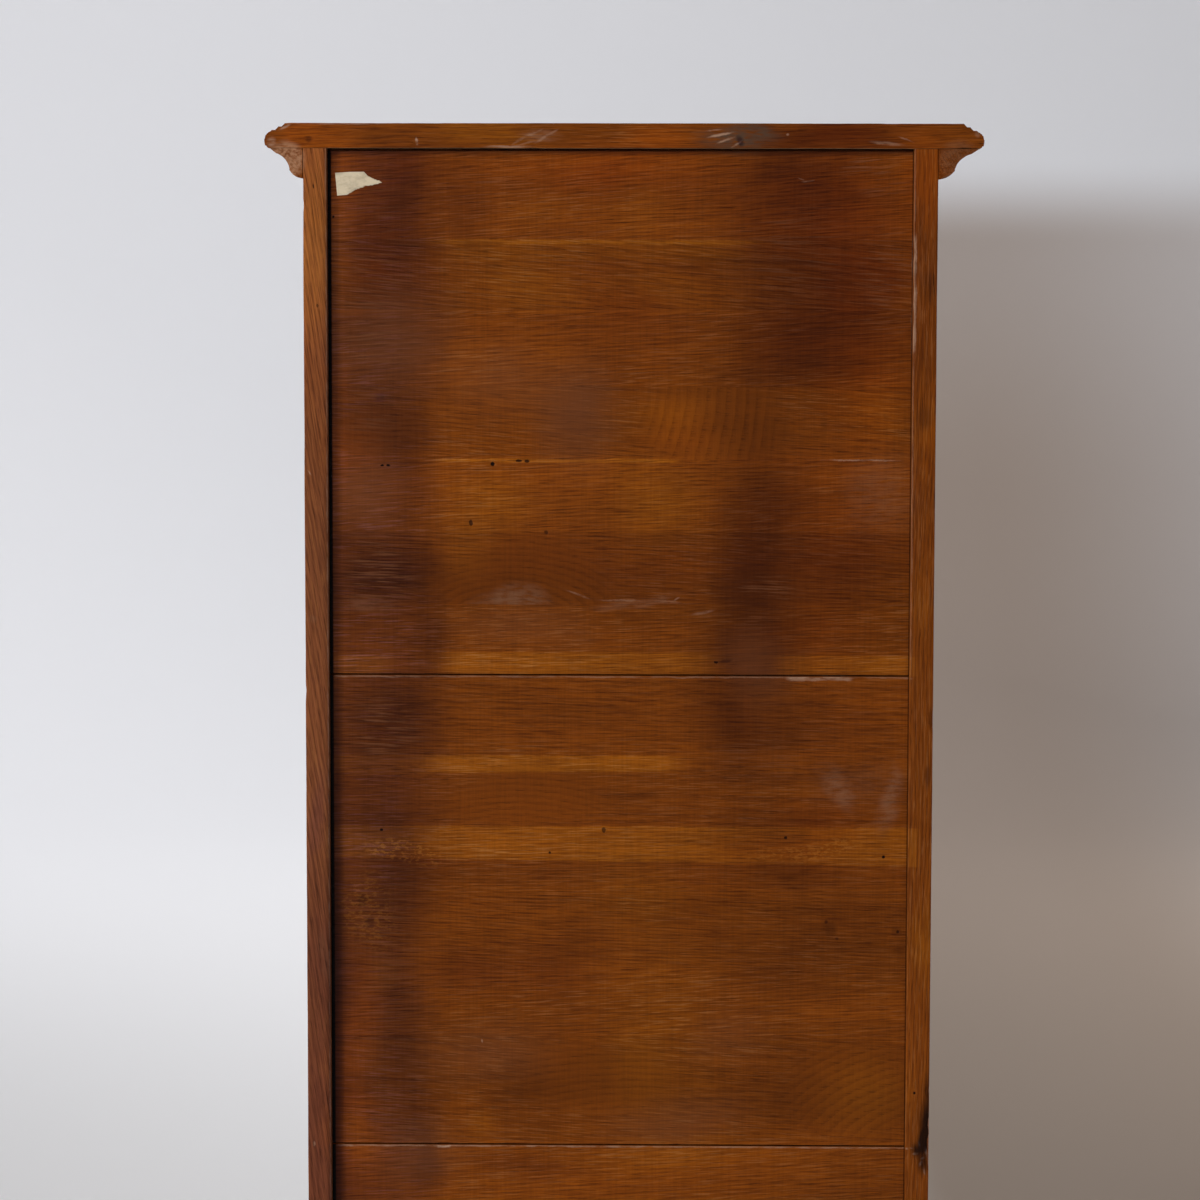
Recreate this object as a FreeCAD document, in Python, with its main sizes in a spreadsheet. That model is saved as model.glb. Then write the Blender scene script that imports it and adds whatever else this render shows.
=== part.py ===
import FreeCAD, Part
import math
import os
import Sketcher

# A two-door linen press of solid oak: a cupboard with three shelves over two full-width drawers.
# The sides are frames with fielded panels, the back is three wide boards held in grooves, and the
# top is a bevelled board over a small cornice. Millimetres, +Z up. X runs across the front, the
# doors face -Y, and the origin is on the floor under the middle of the top board. The case was put
# together a little out of true under its top, so every piece below the top is shifted along X.

# Driving dimensions: name, value, what it is.
DRIVING = [
    ("body_width", 700, "outside of the case, across the front"),
    ("body_depth", 430, "front edge of the case to its rear edge"),
    ("total_height", 1780, "floor to the top of the top board"),
    ("top_thick", 28, "top board"),
    ("top_overhang", 46, "top board beyond the case, at the front and on average at the sides"),
    ("case_shift", 4, "the case's middle beyond the top board's middle, towards +X"),
    ("nose_radius", 10, "rounded edge of the top board"),
    ("nose_tuck", 3.9, "how far the nose runs out past its own centre at the underside"),
    ("nose_tangent", 17.86, "height above the underside where the bevel meets the nose"),
    ("cornice_out", 39, "moulding under the top, projection at the front"),
    ("cornice_tall", 33, "moulding under the top, height"),
    ("side_thick", 27, "stiles and rails of the side frames"),
    ("stile_wide", 62, "stiles of the side frames"),
    ("side_top_rail", 92, "side frame, top rail"),
    ("side_mid_rail", 84, "side frame, middle rail"),
    ("side_low_rail", 108, "side frame, bottom rail"),
    ("side_low_start", 60, "floor to the side frame's bottom rail"),
    ("groove_deep", 10, "panel grooves in the side frames"),
    ("groove_wide", 8, "panel grooves and tenons of the side frames"),
    ("side_tenon", 24, "tenon length in the side frames"),
    ("shoulder", 12, "edge of a rail to its tenon"),
    ("back_recess", 6, "back boards in from the rear edges of the case"),
    ("back_thick", 12, "back boards"),
    ("back_groove", 9, "groove in the rear stiles that holds the back boards"),
    ("back_gap", 1.4, "open joint between two back boards"),
    ("back_tongue", 6, "tongue along the top of a back board"),
    ("back_low", 110, "floor to the lowest back board"),
    ("back_joint_low", 635, "floor to the joint of the bottom and middle boards"),
    ("back_joint_high", 1168.5, "floor to the joint of the middle and top boards"),
    ("back_top_gap", 2.5, "air between the top back board and the top"),
    ("back_rail_thick", 20, "rails behind the back boards"),
    ("rail_thick", 22, "front top rail"),
    ("rail_deep", 60, "front rails that lie flat between the drawers"),
    ("stub_long", 12, "stub tenons of the front and back rails"),
    ("base_rail_low", 84, "floor to the front bottom rail"),
    ("drawer_floor", 120, "floor to the lower drawer opening"),
    ("low_drawer_tall", 190, "lower drawer opening"),
    ("high_drawer_tall", 160, "upper drawer opening"),
    ("divider_tall", 24, "rail between the drawers"),
    ("middle_rail_tall", 30, "rail between the drawers and the doors"),
    ("top_rail_tall", 60, "rail over the doors"),
    ("floor_thick", 16, "cupboard floor"),
    ("shelf_thick", 18, "shelves"),
    ("batten_wide", 18, "battens under the shelves"),
    ("batten_tall", 20, "battens under the shelves"),
    ("batten_set_back", 8, "front end of a batten behind the shelf's front edge"),
    ("shelf_set_back", 36, "front edge of the shelves behind the case front"),
    ("stop_wide", 20, "stop strip behind the rail over the doors, front to back"),
    ("stop_half", 14, "stop strip, above and below the rail's lower edge"),
    ("door_thick", 21.5, "doors"),
    ("door_gap", 2, "air round the doors"),
    ("door_stile", 58, "door stiles"),
    ("door_top_rail", 70, "door top rail"),
    ("door_lock_rail", 78, "door middle rail"),
    ("door_low_rail", 90, "door bottom rail"),
    ("lock_rail_up", 402, "foot of the door to the underside of its middle rail"),
    ("door_groove", 9, "panel grooves in the doors"),
    ("door_tenon", 24, "tenon length in the doors"),
    ("door_tongue", 7, "panel grooves and tenons in the doors"),
    ("panel_slack", 0.2, "air each side of a panel in its groove"),
    ("panel_bevel", 32, "width of the bevel round a fielded panel"),
    ("panel_rise", 4, "height of the bevel"),
    ("panel_step", 1.5, "step from the bevel up to the field"),
    ("leaf_tall", 64, "hinge leaves"),
    ("leaf_wide", 19, "hinge leaf in the wood"),
    ("leaf_thick", 1.8, "hinge leaves"),
    ("knuckle_radius", 3.2, "hinge knuckles"),
    ("pin_radius", 1.5, "hinge pins"),
    ("pin_slack", 0.05, "running fit of the pin in the knuckles"),
    ("knuckle_set_out", 3.6, "hinge axis in front of the case"),
    ("hinge_end", 130, "end of the door opening to the middle of the outer hinges"),
    ("lock_up", 965, "floor to the key"),
    ("lock_wide", 50, "lock case"),
    ("lock_above", 35, "lock case above the key"),
    ("lock_below", 27, "lock case below the key"),
    ("lock_deep", 13, "lock case, out from the door's back"),
    ("lock_wall", 1.5, "lock case walls and the plates of the other fittings"),
    ("bolt_back", 4, "lock bolt behind the door's back"),
    ("bolt_thick", 5, "lock bolt"),
    ("bolt_up", 6, "underside of the lock bolt above the key"),
    ("bolt_tall", 14, "lock bolt"),
    ("bolt_throw", 12, "travel of the lock bolt"),
    ("bolt_tail", 19, "lock bolt beyond the key"),
    ("talon_half", 3.2, "half the width of the notch that the key's bit works in"),
    ("talon_deep", 4.8, "depth of that notch"),
    ("stump_radius", 2.2, "post that guides the lock bolt"),
    ("keeper_wide", 21, "keeper on the left door"),
    ("keyhole_radius", 3.2, "keyhole"),
    ("keyhole_slot", 1.8, "half the width of the keyhole's slot"),
    ("keyhole_drop", 10.5, "foot of the keyhole's slot below the key"),
    ("key_radius", 2.5, "shank of the key"),
    ("key_stem", 18, "shank of the key in front of the door"),
    ("bow_radius", 8.5, "ring of the key's bow"),
    ("bow_wire", 2, "radius of the bow's wire"),
    ("bit_thick", 2.4, "bit of the key"),
    ("bit_wide", 4.4, "bit of the key, along the shank"),
    ("bit_long", 9.5, "end of the bit from the middle of the shank"),
    ("plate_half", 10, "half the width of the escutcheon"),
    ("plate_straight", 13, "half the straight part of its height"),
    ("rod_radius", 4, "shoot bolts on the left door"),
    ("rod_slack", 0.4, "round the shoot bolts"),
    ("rod_long", 88, "shoot bolts"),
    ("rod_out", 6.5, "middle of the shoot bolts behind the door's back"),
    ("rod_drop", 13, "upper shoot bolt's end below the top of the door"),
    ("rod_lift", 8, "lower shoot bolt's end above the foot of the door"),
    ("rod_hole", 22, "hole for the lower shoot bolt in the rail"),
    ("bracket_half", 9, "half the width of a shoot bolt's guide"),
    ("bracket_out", 12.5, "guide, out from the door's back"),
    ("drawer_gap", 1.5, "air round the drawer fronts"),
    ("drawer_front", 20, "drawer fronts"),
    ("drawer_side", 12, "drawer sides and backs"),
    ("drawer_long", 360, "drawer sides behind the front"),
    ("drawer_low_side", 14, "drawer opening height less the drawer side"),
    ("drawer_panel", 8, "drawer bottoms"),
    ("tail_long", 14, "dovetails of the drawer sides"),
    ("tail_flare", 3, "how much wider a dovetail is at its end, each side"),
    ("runner_wide", 30, "drawer runners"),
    ("runner_tall", 20, "drawer runners"),
    ("knob_radius", 16, "turned knobs"),
    ("knob_long", 32, "turned knobs, out from the wood"),
    ("knob_spigot", 5.9, "radius of a knob's spigot"),
    ("knob_apart", 380, "two knobs of a drawer, centre to centre"),
    ("plinth_thick", 18, "plinth boards"),
    ("plinth_tall", 96, "plinth boards"),
    ("plinth_clear", 58, "height of the plinth's cut-out"),
    ("foot_wide", 96, "bracket feet at the floor"),
]

MITRE_REACH = 45  # a moulding's blank runs on this far past the corner of the case
SIN_30 = 0.5
TAN_30 = math.tan(math.radians(30))
ARC_BULGE = 0.5  # middle of a span


class Size:
    """A length as a formula over the sheet's cells, with its value in millimetres."""

    def __init__(self, formula, value):
        self.formula = formula
        self.value = value

    def __add__(self, other):
        other = size(other)
        return Size(f"({self.formula} + {other.formula})", self.value + other.value)

    def __sub__(self, other):
        other = size(other)
        return Size(f"({self.formula} - {other.formula})", self.value - other.value)

    def __mul__(self, number):
        return Size(f"({self.formula} * {number})", self.value * number)

    def __truediv__(self, number):
        return Size(f"({self.formula} / {number})", self.value / number)

    def __neg__(self):
        return Size(f"(0 - {self.formula})", -self.value)


def size(thing):
    """A plain number as a Size, or a Size as it is."""
    return thing if isinstance(thing, Size) else Size(f"({thing})", float(thing))


doc = FreeCAD.newDocument("linen_press")
sheet = doc.addObject("Spreadsheet::Sheet", "dims")
D = {}
for row, (alias, value, note) in enumerate(DRIVING, 1):
    sheet.set(f"A{row}", alias)
    sheet.set(f"B{row}", str(value))
    sheet.set(f"C{row}", note)
    sheet.setAlias(f"B{row}", alias)
    D[alias] = Size(f"dims.{alias}", float(value))
doc.recompute()

# Planes and levels that many pieces share.
ZERO = size(0)
HALF = D["body_width"] / 2
INNER = HALF - D["side_thick"]
REAR = (D["body_depth"] + D["top_overhang"]) / 2
FRONT = REAR - D["body_depth"]
UNDER_TOP = D["total_height"] - D["top_thick"]
BACK_OUT = REAR - D["back_recess"]
BACK_IN = BACK_OUT - D["back_thick"]
LOW_DRAWER = D["drawer_floor"]
LOW_DRAWER_TOP = LOW_DRAWER + D["low_drawer_tall"]
HIGH_DRAWER = LOW_DRAWER_TOP + D["divider_tall"]
HIGH_DRAWER_TOP = HIGH_DRAWER + D["high_drawer_tall"]
DOORS_LOW = HIGH_DRAWER_TOP + D["middle_rail_tall"]
DOORS_HIGH = UNDER_TOP - D["top_rail_tall"]
DOOR_BACK = FRONT + D["door_thick"]
DOOR_LOW = DOORS_LOW + D["door_gap"]
DOOR_HIGH = DOORS_HIGH - D["door_gap"]
DOOR_IN = D["door_gap"] / 2
DOOR_OUT = INNER - D["door_gap"]
KEY_X = DOOR_IN + D["door_stile"] / 2
KEY_Z = D["lock_up"]
KNOB_Z = KEY_Z + 78
ROD_Y = DOOR_BACK + D["rod_out"]
HINGES = [
    DOORS_LOW + D["hinge_end"],
    (DOORS_LOW + DOORS_HIGH) / 2,
    DOORS_HIGH - D["hinge_end"],
]
SIDES = {"left": -1, "right": 1}
NODES = {}


def bind(thing, prop, length):
    """Ties a property of a document object to the sheet."""
    thing.setExpression(prop, size(length).formula)


def locate(thing, x, y, z):
    """Puts a feature at a point."""
    for axis, length in zip("xyz", (x, y, z)):
        bind(thing, f"Placement.Base.{axis}", length)


def across(sign, low, high):
    """The X span from low to high on the right, mirrored for the left."""
    return (low, high) if sign > 0 else (-size(high), -size(low))


def new_body(label):
    """An empty PartDesign body, in the case's own frame."""
    body = doc.addObject("PartDesign::Body", label)
    body.Label = label
    bind(body, "Placement.Base.x", D["case_shift"])
    return body


def feature(body, kind):
    """Adds a PartDesign feature of that kind to a body."""
    made = body.newObject(f"PartDesign::{kind}", f"{body.Name}_{kind}")
    if hasattr(made, "Refine"):
        made.Refine = True
    return made


def block(body, x, y, z, cut=False):
    """A box from low to high along each axis, added to the body or cut from it."""
    made = feature(body, "SubtractiveBox" if cut else "AdditiveBox")
    for prop, (low, high) in zip(("Length", "Width", "Height"), (x, y, z)):
        bind(made, prop, size(high) - low)
    locate(made, x[0], y[0], z[0])
    return made


TURNS = {
    "X": FreeCAD.Rotation(FreeCAD.Vector(0, 1, 0), 90),
    "Y": FreeCAD.Rotation(FreeCAD.Vector(1, 0, 0), -90),
    "Z": FreeCAD.Rotation(),
}


def rod(body, axis, start, long, radius, cut=False):
    """A cylinder that starts at a point and runs along +X, +Y or +Z."""
    made = feature(body, "SubtractiveCylinder" if cut else "AdditiveCylinder")
    made.Placement = FreeCAD.Placement(FreeCAD.Vector(), TURNS[axis])
    bind(made, "Radius", radius)
    bind(made, "Height", long)
    locate(made, *start)
    return made


def board(label, x, y, z):
    """A body that is one plain board, ready for its joints."""
    body = new_body(label)
    block(body, x, y, z)
    return body


def node(label, pieces):
    """Registers a node: one body, or several solids that share a name."""
    if len(pieces) == 1:
        NODES[label] = pieces[0]
        return
    group = doc.addObject("Part::Compound", label)
    group.Label = label
    group.Links = pieces
    NODES[label] = group


def plane_of(body, role):
    """An origin plane of the body, by its role."""
    return next(p for p in body.Origin.OriginFeatures if p.Role == role)


def outline(body, role, points, arcs=None, offset=None):
    """A closed sketch on an origin plane. points are corners in the sketch's own axes, each tied
    to the sheet. arcs gives, for the span that starts at a corner, (radius, side): side is +1 if
    the arc bulges to the left of the way the outline runs, and -1 if it bulges to the right."""
    arcs = arcs or {}
    sketch = body.newObject("Sketcher::SketchObject", f"{body.Name}_sketch")
    sketch.AttachmentSupport = [(plane_of(body, role), "")]
    sketch.MapMode = "FlatFace"
    if offset is not None:
        bind(sketch, "AttachmentOffset.Base.z", offset)
    corners = [FreeCAD.Vector(x.value, y.value, 0) for x, y in points]
    ends = []
    for i, begin in enumerate(corners):
        end = corners[(i + 1) % len(corners)]
        if i in arcs:
            radius, side = arcs[i]
            chord = end - begin
            half = chord.Length / 2
            sagitta = radius.value - math.sqrt(max(radius.value**2 - half**2, 0))
            left = FreeCAD.Vector(-chord.y, chord.x, 0).normalize()
            shape = Part.Arc(begin, begin + chord * ARC_BULGE + left * (side * sagitta), end)
        else:
            shape = Part.LineSegment(begin, end)
        index = sketch.addGeometry(shape, False)
        first = sketch.getPoint(index, 1)
        forward = (first - begin).Length < (first - end).Length
        ends.append((index, 1 if forward else 2, 2 if forward else 1))
    for i, (index, start, stop) in enumerate(ends):
        following, following_start, _ = ends[(i + 1) % len(ends)]
        join = Sketcher.Constraint("Coincident", index, stop, following, following_start)
        sketch.addConstraint(join)
        for kind, length in zip(("DistanceX", "DistanceY"), points[i]):
            tie = Sketcher.Constraint(kind, -1, 1, index, start, length.value)
            number = sketch.addConstraint(tie)
            bind(sketch, f"Constraints[{number}]", length)
        if i in arcs:
            radius = arcs[i][0]
            number = sketch.addConstraint(Sketcher.Constraint("Radius", index, radius.value))
            bind(sketch, f"Constraints[{number}]", radius)
    return sketch


def pad(body, sketch, long, symmetric=False, flip=False):
    """Thickens a sketch into the body."""
    made = feature(body, "Pad")
    made.Profile = sketch
    bind(made, "Length", long)
    made.SideType = "Symmetric" if symmetric else "One side"
    made.Reversed = flip
    return made


def pocket(body, sketch):
    """Cuts a sketch through the body, both ways from its plane."""
    made = feature(body, "Pocket")
    made.Profile = sketch
    made.SideType = "Symmetric"
    bind(made, "Length", D["body_width"] * 2)
    return made


def mitre(body, run, sign, outs, level):
    """Cuts a moulding off along the line from the corner of the case to the moulded corner."""
    side = outs["right" if sign > 0 else "left"] * sign
    front = outs["front"]
    inner = (HALF * sign - side / 2, FRONT + front / 2)
    outer = (HALF * sign + side * 3, FRONT - front * 3)
    beyond = (outer[0], inner[1]) if run == "front" else (inner[0], outer[1])
    pocket(body, outline(body, "XY_Plane", [inner, outer, beyond], offset=level))


def moulding(label, run, profile, arcs, outs, level):
    """A strip on the front or a side of the case, mitred at the front corners. profile gives
    corners as (distance out from the case, height), and outs the projection of each strip."""
    body = new_body(label)
    if run == "front":
        points = [(FRONT - out, z) for out, z in profile]
        turned = {i: (radius, -side) for i, (radius, side) in arcs.items()}
        sketch = outline(body, "YZ_Plane", points, turned)
        pad(body, sketch, D["body_width"] + MITRE_REACH * 2, symmetric=True)
        mitre(body, run, 1, outs, level)
        mitre(body, run, -1, outs, level)
        return body
    sign = SIDES[run]
    points = [((HALF + out) * sign, z) for out, z in profile]
    turned = {i: (radius, side * sign) for i, (radius, side) in arcs.items()}
    sketch = outline(body, "XZ_Plane", points, turned, offset=-REAR)
    pad(body, sketch, D["body_depth"] + MITRE_REACH)
    mitre(body, run, sign, outs, level)
    return body


def frustum(body, facing, wide, tall, base, rise, inset):
    """A low pyramid on a panel, rising the way it faces, with its top smaller by inset."""
    made = feature(body, "AdditiveWedge")
    far = size(base) + rise
    if facing == "front":
        spans = {"Ymin": -far, "Ymax": -size(base)}
        narrow, broad = ("Xmin", "Xmax", "Zmin", "Zmax"), ("X2min", "X2max", "Z2min", "Z2max")
    else:
        turn = 90 if facing == "left" else -90
        axis = FreeCAD.Vector(0, 0, 1)
        made.Placement = FreeCAD.Placement(FreeCAD.Vector(), FreeCAD.Rotation(axis, turn))
        spans = {"Ymin": base, "Ymax": far}
        narrow, broad = ("X2min", "X2max", "Z2min", "Z2max"), ("Xmin", "Xmax", "Zmin", "Zmax")
        if facing == "right":
            wide = (-wide[1], -wide[0])
    spans.update(zip(broad, (*wide, *tall)))
    spans.update(
        zip(narrow, (wide[0] + inset, wide[1] - inset, tall[0] + inset, tall[1] - inset))
    )
    for prop, length in spans.items():
        bind(made, prop, length)


def side_frames():
    """Two frames, each of two stiles and three rails, with a fielded panel in each opening."""
    rails = {
        "bottom": (D["side_low_start"], D["side_low_start"] + D["side_low_rail"]),
        "middle": (DOORS_LOW - D["side_mid_rail"] / 2, DOORS_LOW + D["side_mid_rail"] / 2),
        "top": (UNDER_TOP - D["side_top_rail"], UNDER_TOP),
    }
    openings = {
        "lower": (rails["bottom"][1], rails["middle"][0]),
        "upper": (rails["middle"][1], rails["top"][0]),
    }
    near, far = FRONT + D["stile_wide"], REAR - D["stile_wide"]
    groove = INNER + (D["side_thick"] - D["groove_wide"]) / 2
    for name, sign in SIDES.items():
        thick = across(sign, INNER, HALF)
        tongue = across(sign, groove, groove + D["groove_wide"])
        stiles = {
            "front": board(
                f"side_{name}_front_stile", thick, (FRONT, near), (ZERO, UNDER_TOP)
            ),
            "rear": board(f"side_{name}_rear_stile", thick, (far, REAR), (ZERO, UNDER_TOP)),
        }
        for low, high in openings.values():
            tall = (low - D["groove_deep"], high + D["groove_deep"])
            block(stiles["front"], tongue, (near - D["groove_deep"], near), tall, cut=True)
            block(stiles["rear"], tongue, (far, far + D["groove_deep"]), tall, cut=True)
        made = []
        for place, (low, high) in rails.items():
            rail = board(f"side_{name}_{place}_rail", thick, (near, far), (low, high))
            tenon = (low + D["shoulder"], high - D["shoulder"])
            block(rail, tongue, (near - D["side_tenon"], far + D["side_tenon"]), tenon)
            block(stiles["front"], tongue, (near - D["side_tenon"], near), tenon, cut=True)
            block(stiles["rear"], tongue, (far, far + D["side_tenon"]), tenon, cut=True)
            if place != "bottom":
                block(rail, tongue, (near, far), (low, low + D["groove_deep"]), cut=True)
            if place != "top":
                block(rail, tongue, (near, far), (high - D["groove_deep"], high), cut=True)
            made.append(rail)
        front_stile_joints(stiles["front"], sign)
        rear_stile_joints(stiles["rear"], sign)
        node(f"side_{name}_front_stile", [stiles["front"]])
        node(f"side_{name}_rear_stile", [stiles["rear"]])
        node(f"side_{name}_rails", made)
        panels = []
        for place, (low, high) in openings.items():
            panel = new_body(f"side_{name}_{place}_panel")
            plate = across(
                sign, groove + D["panel_slack"], groove + D["groove_wide"] - D["panel_slack"]
            )
            hidden = D["groove_deep"] - 1
            block(
                panel,
                plate,
                (near - hidden, far + hidden),
                (low - D["groove_deep"], high + D["groove_deep"] - 2),
            )
            face = groove + D["groove_wide"] - D["panel_slack"]
            wide, tall = (near + 1, far - 1), (low + 1, high - 1)
            frustum(panel, name, wide, tall, face, D["panel_rise"], D["panel_bevel"])
            field = face + D["panel_rise"]
            block(
                panel,
                across(sign, field, field + D["panel_step"]),
                (wide[0] + D["panel_bevel"], wide[1] - D["panel_bevel"]),
                (tall[0] + D["panel_bevel"], tall[1] - D["panel_bevel"]),
            )
            panels.append(panel)
        node(f"side_{name}_panels", panels)


FLAT_TENON = (FRONT + 8, FRONT + 30)  # tenons of the front rails that lie flat
FRONT_RAILS = {
    "bottom": (D["base_rail_low"], LOW_DRAWER, FLAT_TENON),
    "drawers": (LOW_DRAWER_TOP, HIGH_DRAWER, FLAT_TENON),
    "middle": (HIGH_DRAWER_TOP, DOORS_LOW, FLAT_TENON),
    "top": (DOORS_HIGH, UNDER_TOP, (FRONT + 7, FRONT + 15)),
}
BACK_RAILS = {
    "top": (DOORS_HIGH, UNDER_TOP, (BACK_IN - D["back_rail_thick"], BACK_IN)),
    "bottom": (D["side_low_start"], D["back_low"], (BACK_OUT - D["rail_thick"], BACK_OUT)),
}
TENON_EDGE = 6  # edge of a front or back rail to its tenon


def front_stile_joints(stile, sign):
    """Mortises for the front rails, and gains for the hinge leaves."""
    deep = across(sign, INNER, INNER + D["stub_long"])
    for low, high, tenon in FRONT_RAILS.values():
        block(stile, deep, tenon, (low + TENON_EDGE, high - TENON_EDGE), cut=True)
    gain = across(sign, INNER, INNER + D["leaf_thick"])
    for middle in HINGES:
        tall = (middle - D["leaf_tall"] / 2, middle + D["leaf_tall"] / 2)
        block(stile, gain, (FRONT, FRONT + D["leaf_wide"]), tall, cut=True)


def rear_stile_joints(stile, sign):
    """The groove for the back boards, and mortises for the back rails."""
    groove = across(sign, INNER, INNER + D["back_groove"])
    block(stile, groove, (BACK_IN, BACK_OUT), (D["back_low"], UNDER_TOP), cut=True)
    deep = across(sign, INNER, INNER + D["stub_long"])
    for low, high, thick in BACK_RAILS.values():
        tenon = (thick[0] + TENON_EDGE, thick[1] - TENON_EDGE)
        block(stile, deep, tenon, (low + TENON_EDGE, high - TENON_EDGE), cut=True)


def cross_rails():
    """The rails that join the two sides, each with a stub tenon at both ends."""
    wide, ends = (-INNER, INNER), (-INNER - D["stub_long"], INNER + D["stub_long"])
    for name, (low, high, tenon) in FRONT_RAILS.items():
        deep = D["rail_thick"] if name == "top" else D["rail_deep"]
        rail = board(f"front_rail_{name}", wide, (FRONT, FRONT + deep), (low, high))
        block(rail, ends, tenon, (low + TENON_EDGE, high - TENON_EDGE))
        if name == "middle":
            hole = (-KEY_X, ROD_Y, high - D["rod_hole"])
            rod(rail, "Z", hole, D["rod_hole"], D["rod_radius"] + D["rod_slack"], cut=True)
        node(f"front_rail_{name}", [rail])
    for name, (low, high, thick) in BACK_RAILS.items():
        rail = board(f"back_rail_{name}", wide, thick, (low, high))
        tenon = (thick[0] + TENON_EDGE, thick[1] - TENON_EDGE)
        block(rail, ends, tenon, (low + TENON_EDGE, high - TENON_EDGE))
        node(f"back_rail_{name}", [rail])


def back_boards():
    """Three wide boards in the grooves of the rear stiles, tongued into each other."""
    levels = [
        D["back_low"],
        D["back_joint_low"],
        D["back_joint_high"],
        UNDER_TOP - D["back_top_gap"],
    ]
    reach = INNER + D["back_groove"] - 1
    wide, thick = (-reach, reach), (BACK_IN, BACK_OUT)
    tongue = (BACK_IN + 4, BACK_OUT - 4)
    half_gap = D["back_gap"] / 2
    for i, name in enumerate(("bottom", "middle", "top")):
        low = levels[i] if i == 0 else levels[i] + half_gap
        high = levels[i + 1] if i == 2 else levels[i + 1] - half_gap
        made = board(f"back_board_{name}", wide, thick, (low, high))
        if i < 2:
            block(made, wide, tongue, (high, high + D["back_tongue"]))
        if i > 0:
            groove = (low, low + D["back_tongue"] - D["back_gap"] + 1)
            block(made, wide, (tongue[0] - 0.2, tongue[1] + 0.2), groove, cut=True)
        node(f"back_board_{name}", [made])


def top_board():
    """The top, bevelled and rounded along the front and both ends, square at the rear."""
    body = new_body("top_board")
    bind(body, "Placement.Base.x", ZERO)
    end = HALF + D["top_overhang"]
    nose = D["nose_radius"]
    top, under = D["total_height"], UNDER_TOP
    tangent = under + D["nose_tangent"]
    run = (top - tangent) / TAN_30
    bevel_foot = nose * (1 - SIN_30)
    bevel_head = bevel_foot + run
    tuck = nose - D["nose_tuck"]
    points = [
        (end - bevel_head, top),
        (-end + bevel_head, top),
        (-end + bevel_foot, tangent),
        (-end + tuck, under),
        (end - tuck, under),
        (end - bevel_foot, tangent),
    ]
    arcs = {2: (nose, -1), 4: (nose, -1)}
    deep = D["body_depth"] + D["top_overhang"]
    pad(body, outline(body, "XZ_Plane", points, arcs), deep, symmetric=True)
    front = -REAR
    waste = [
        (front + bevel_head, top),
        (front - bevel_head, top),
        (front - bevel_head, under),
        (front + tuck, under),
        (front + bevel_foot, tangent),
    ]
    pocket(body, outline(body, "YZ_Plane", waste, {3: (nose, 1)}))
    node("top_board", [body])


def cornice():
    """A cavetto over an ovolo, under the top board. It keeps in line with the top board's ends, so
    its two side strips project unequally from the case."""
    tall = D["cornice_tall"]
    outs = {
        "front": D["cornice_out"],
        "left": D["cornice_out"] + D["case_shift"],
        "right": D["cornice_out"] - D["case_shift"],
    }
    for run, out in outs.items():
        profile = [
            (ZERO, UNDER_TOP),
            (out, UNDER_TOP),
            (out, UNDER_TOP - 1.2),
            (out * 0.84, UNDER_TOP - tall * 0.17),
            (out * 0.42, UNDER_TOP - tall * 0.67),
            (out * 0.42, UNDER_TOP - tall * 0.73),
            (out * 0.03, UNDER_TOP - tall),
            (ZERO, UNDER_TOP - tall),
        ]
        arcs = {3: (out * 0.61, -1), 5: (out * 0.46, 1)}
        body = moulding(f"cornice_{run}", run, profile, arcs, outs, UNDER_TOP)
        node(f"cornice_{run}", [body])


def foot_arch(low, high):
    """The cut-out between two bracket feet, from low to high along the board."""
    sweep, step = size(30), size(4)
    rise = D["plinth_clear"]
    return [
        (low, -size(10)),
        (high, -size(10)),
        (high, rise * 0.12),
        (high - sweep, rise * 0.12 + sweep),
        (high - sweep - step, rise * 0.12 + sweep),
        (high - sweep - step, rise),
        (low + sweep + step, rise),
        (low + sweep + step, rise * 0.12 + sweep),
        (low + sweep, rise * 0.12 + sweep),
        (low, rise * 0.12),
    ]


def plinth():
    """Three boards round the base, with a moulded top edge and an arch between bracket feet."""
    thick, tall = D["plinth_thick"], D["plinth_tall"]
    profile = [
        (ZERO, ZERO),
        (thick, ZERO),
        (thick, tall - 14),
        (thick - 2, tall - 12.5),
        (thick * 0.35, tall - 2.5),
        (thick * 0.35, tall),
        (ZERO, tall),
    ]
    arcs = {3: (size(10.5), -1)}
    outs = {"front": thick, "left": thick, "right": thick}
    sweep = size(30)
    corner = D["foot_wide"]
    for run in outs:
        body = moulding(f"plinth_{run}", run, profile, arcs, outs, ZERO)
        if run == "front":
            edge = HALF + thick - corner
            arch, role = foot_arch(-edge, edge), "XZ_Plane"
        else:
            arch, role = foot_arch(FRONT - thick + corner, REAR - corner * 0.7), "YZ_Plane"
        pocket(body, outline(body, role, arch, {2: (sweep, -1), 8: (sweep, -1)}))
        node(f"plinth_{run}", [body])


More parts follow.
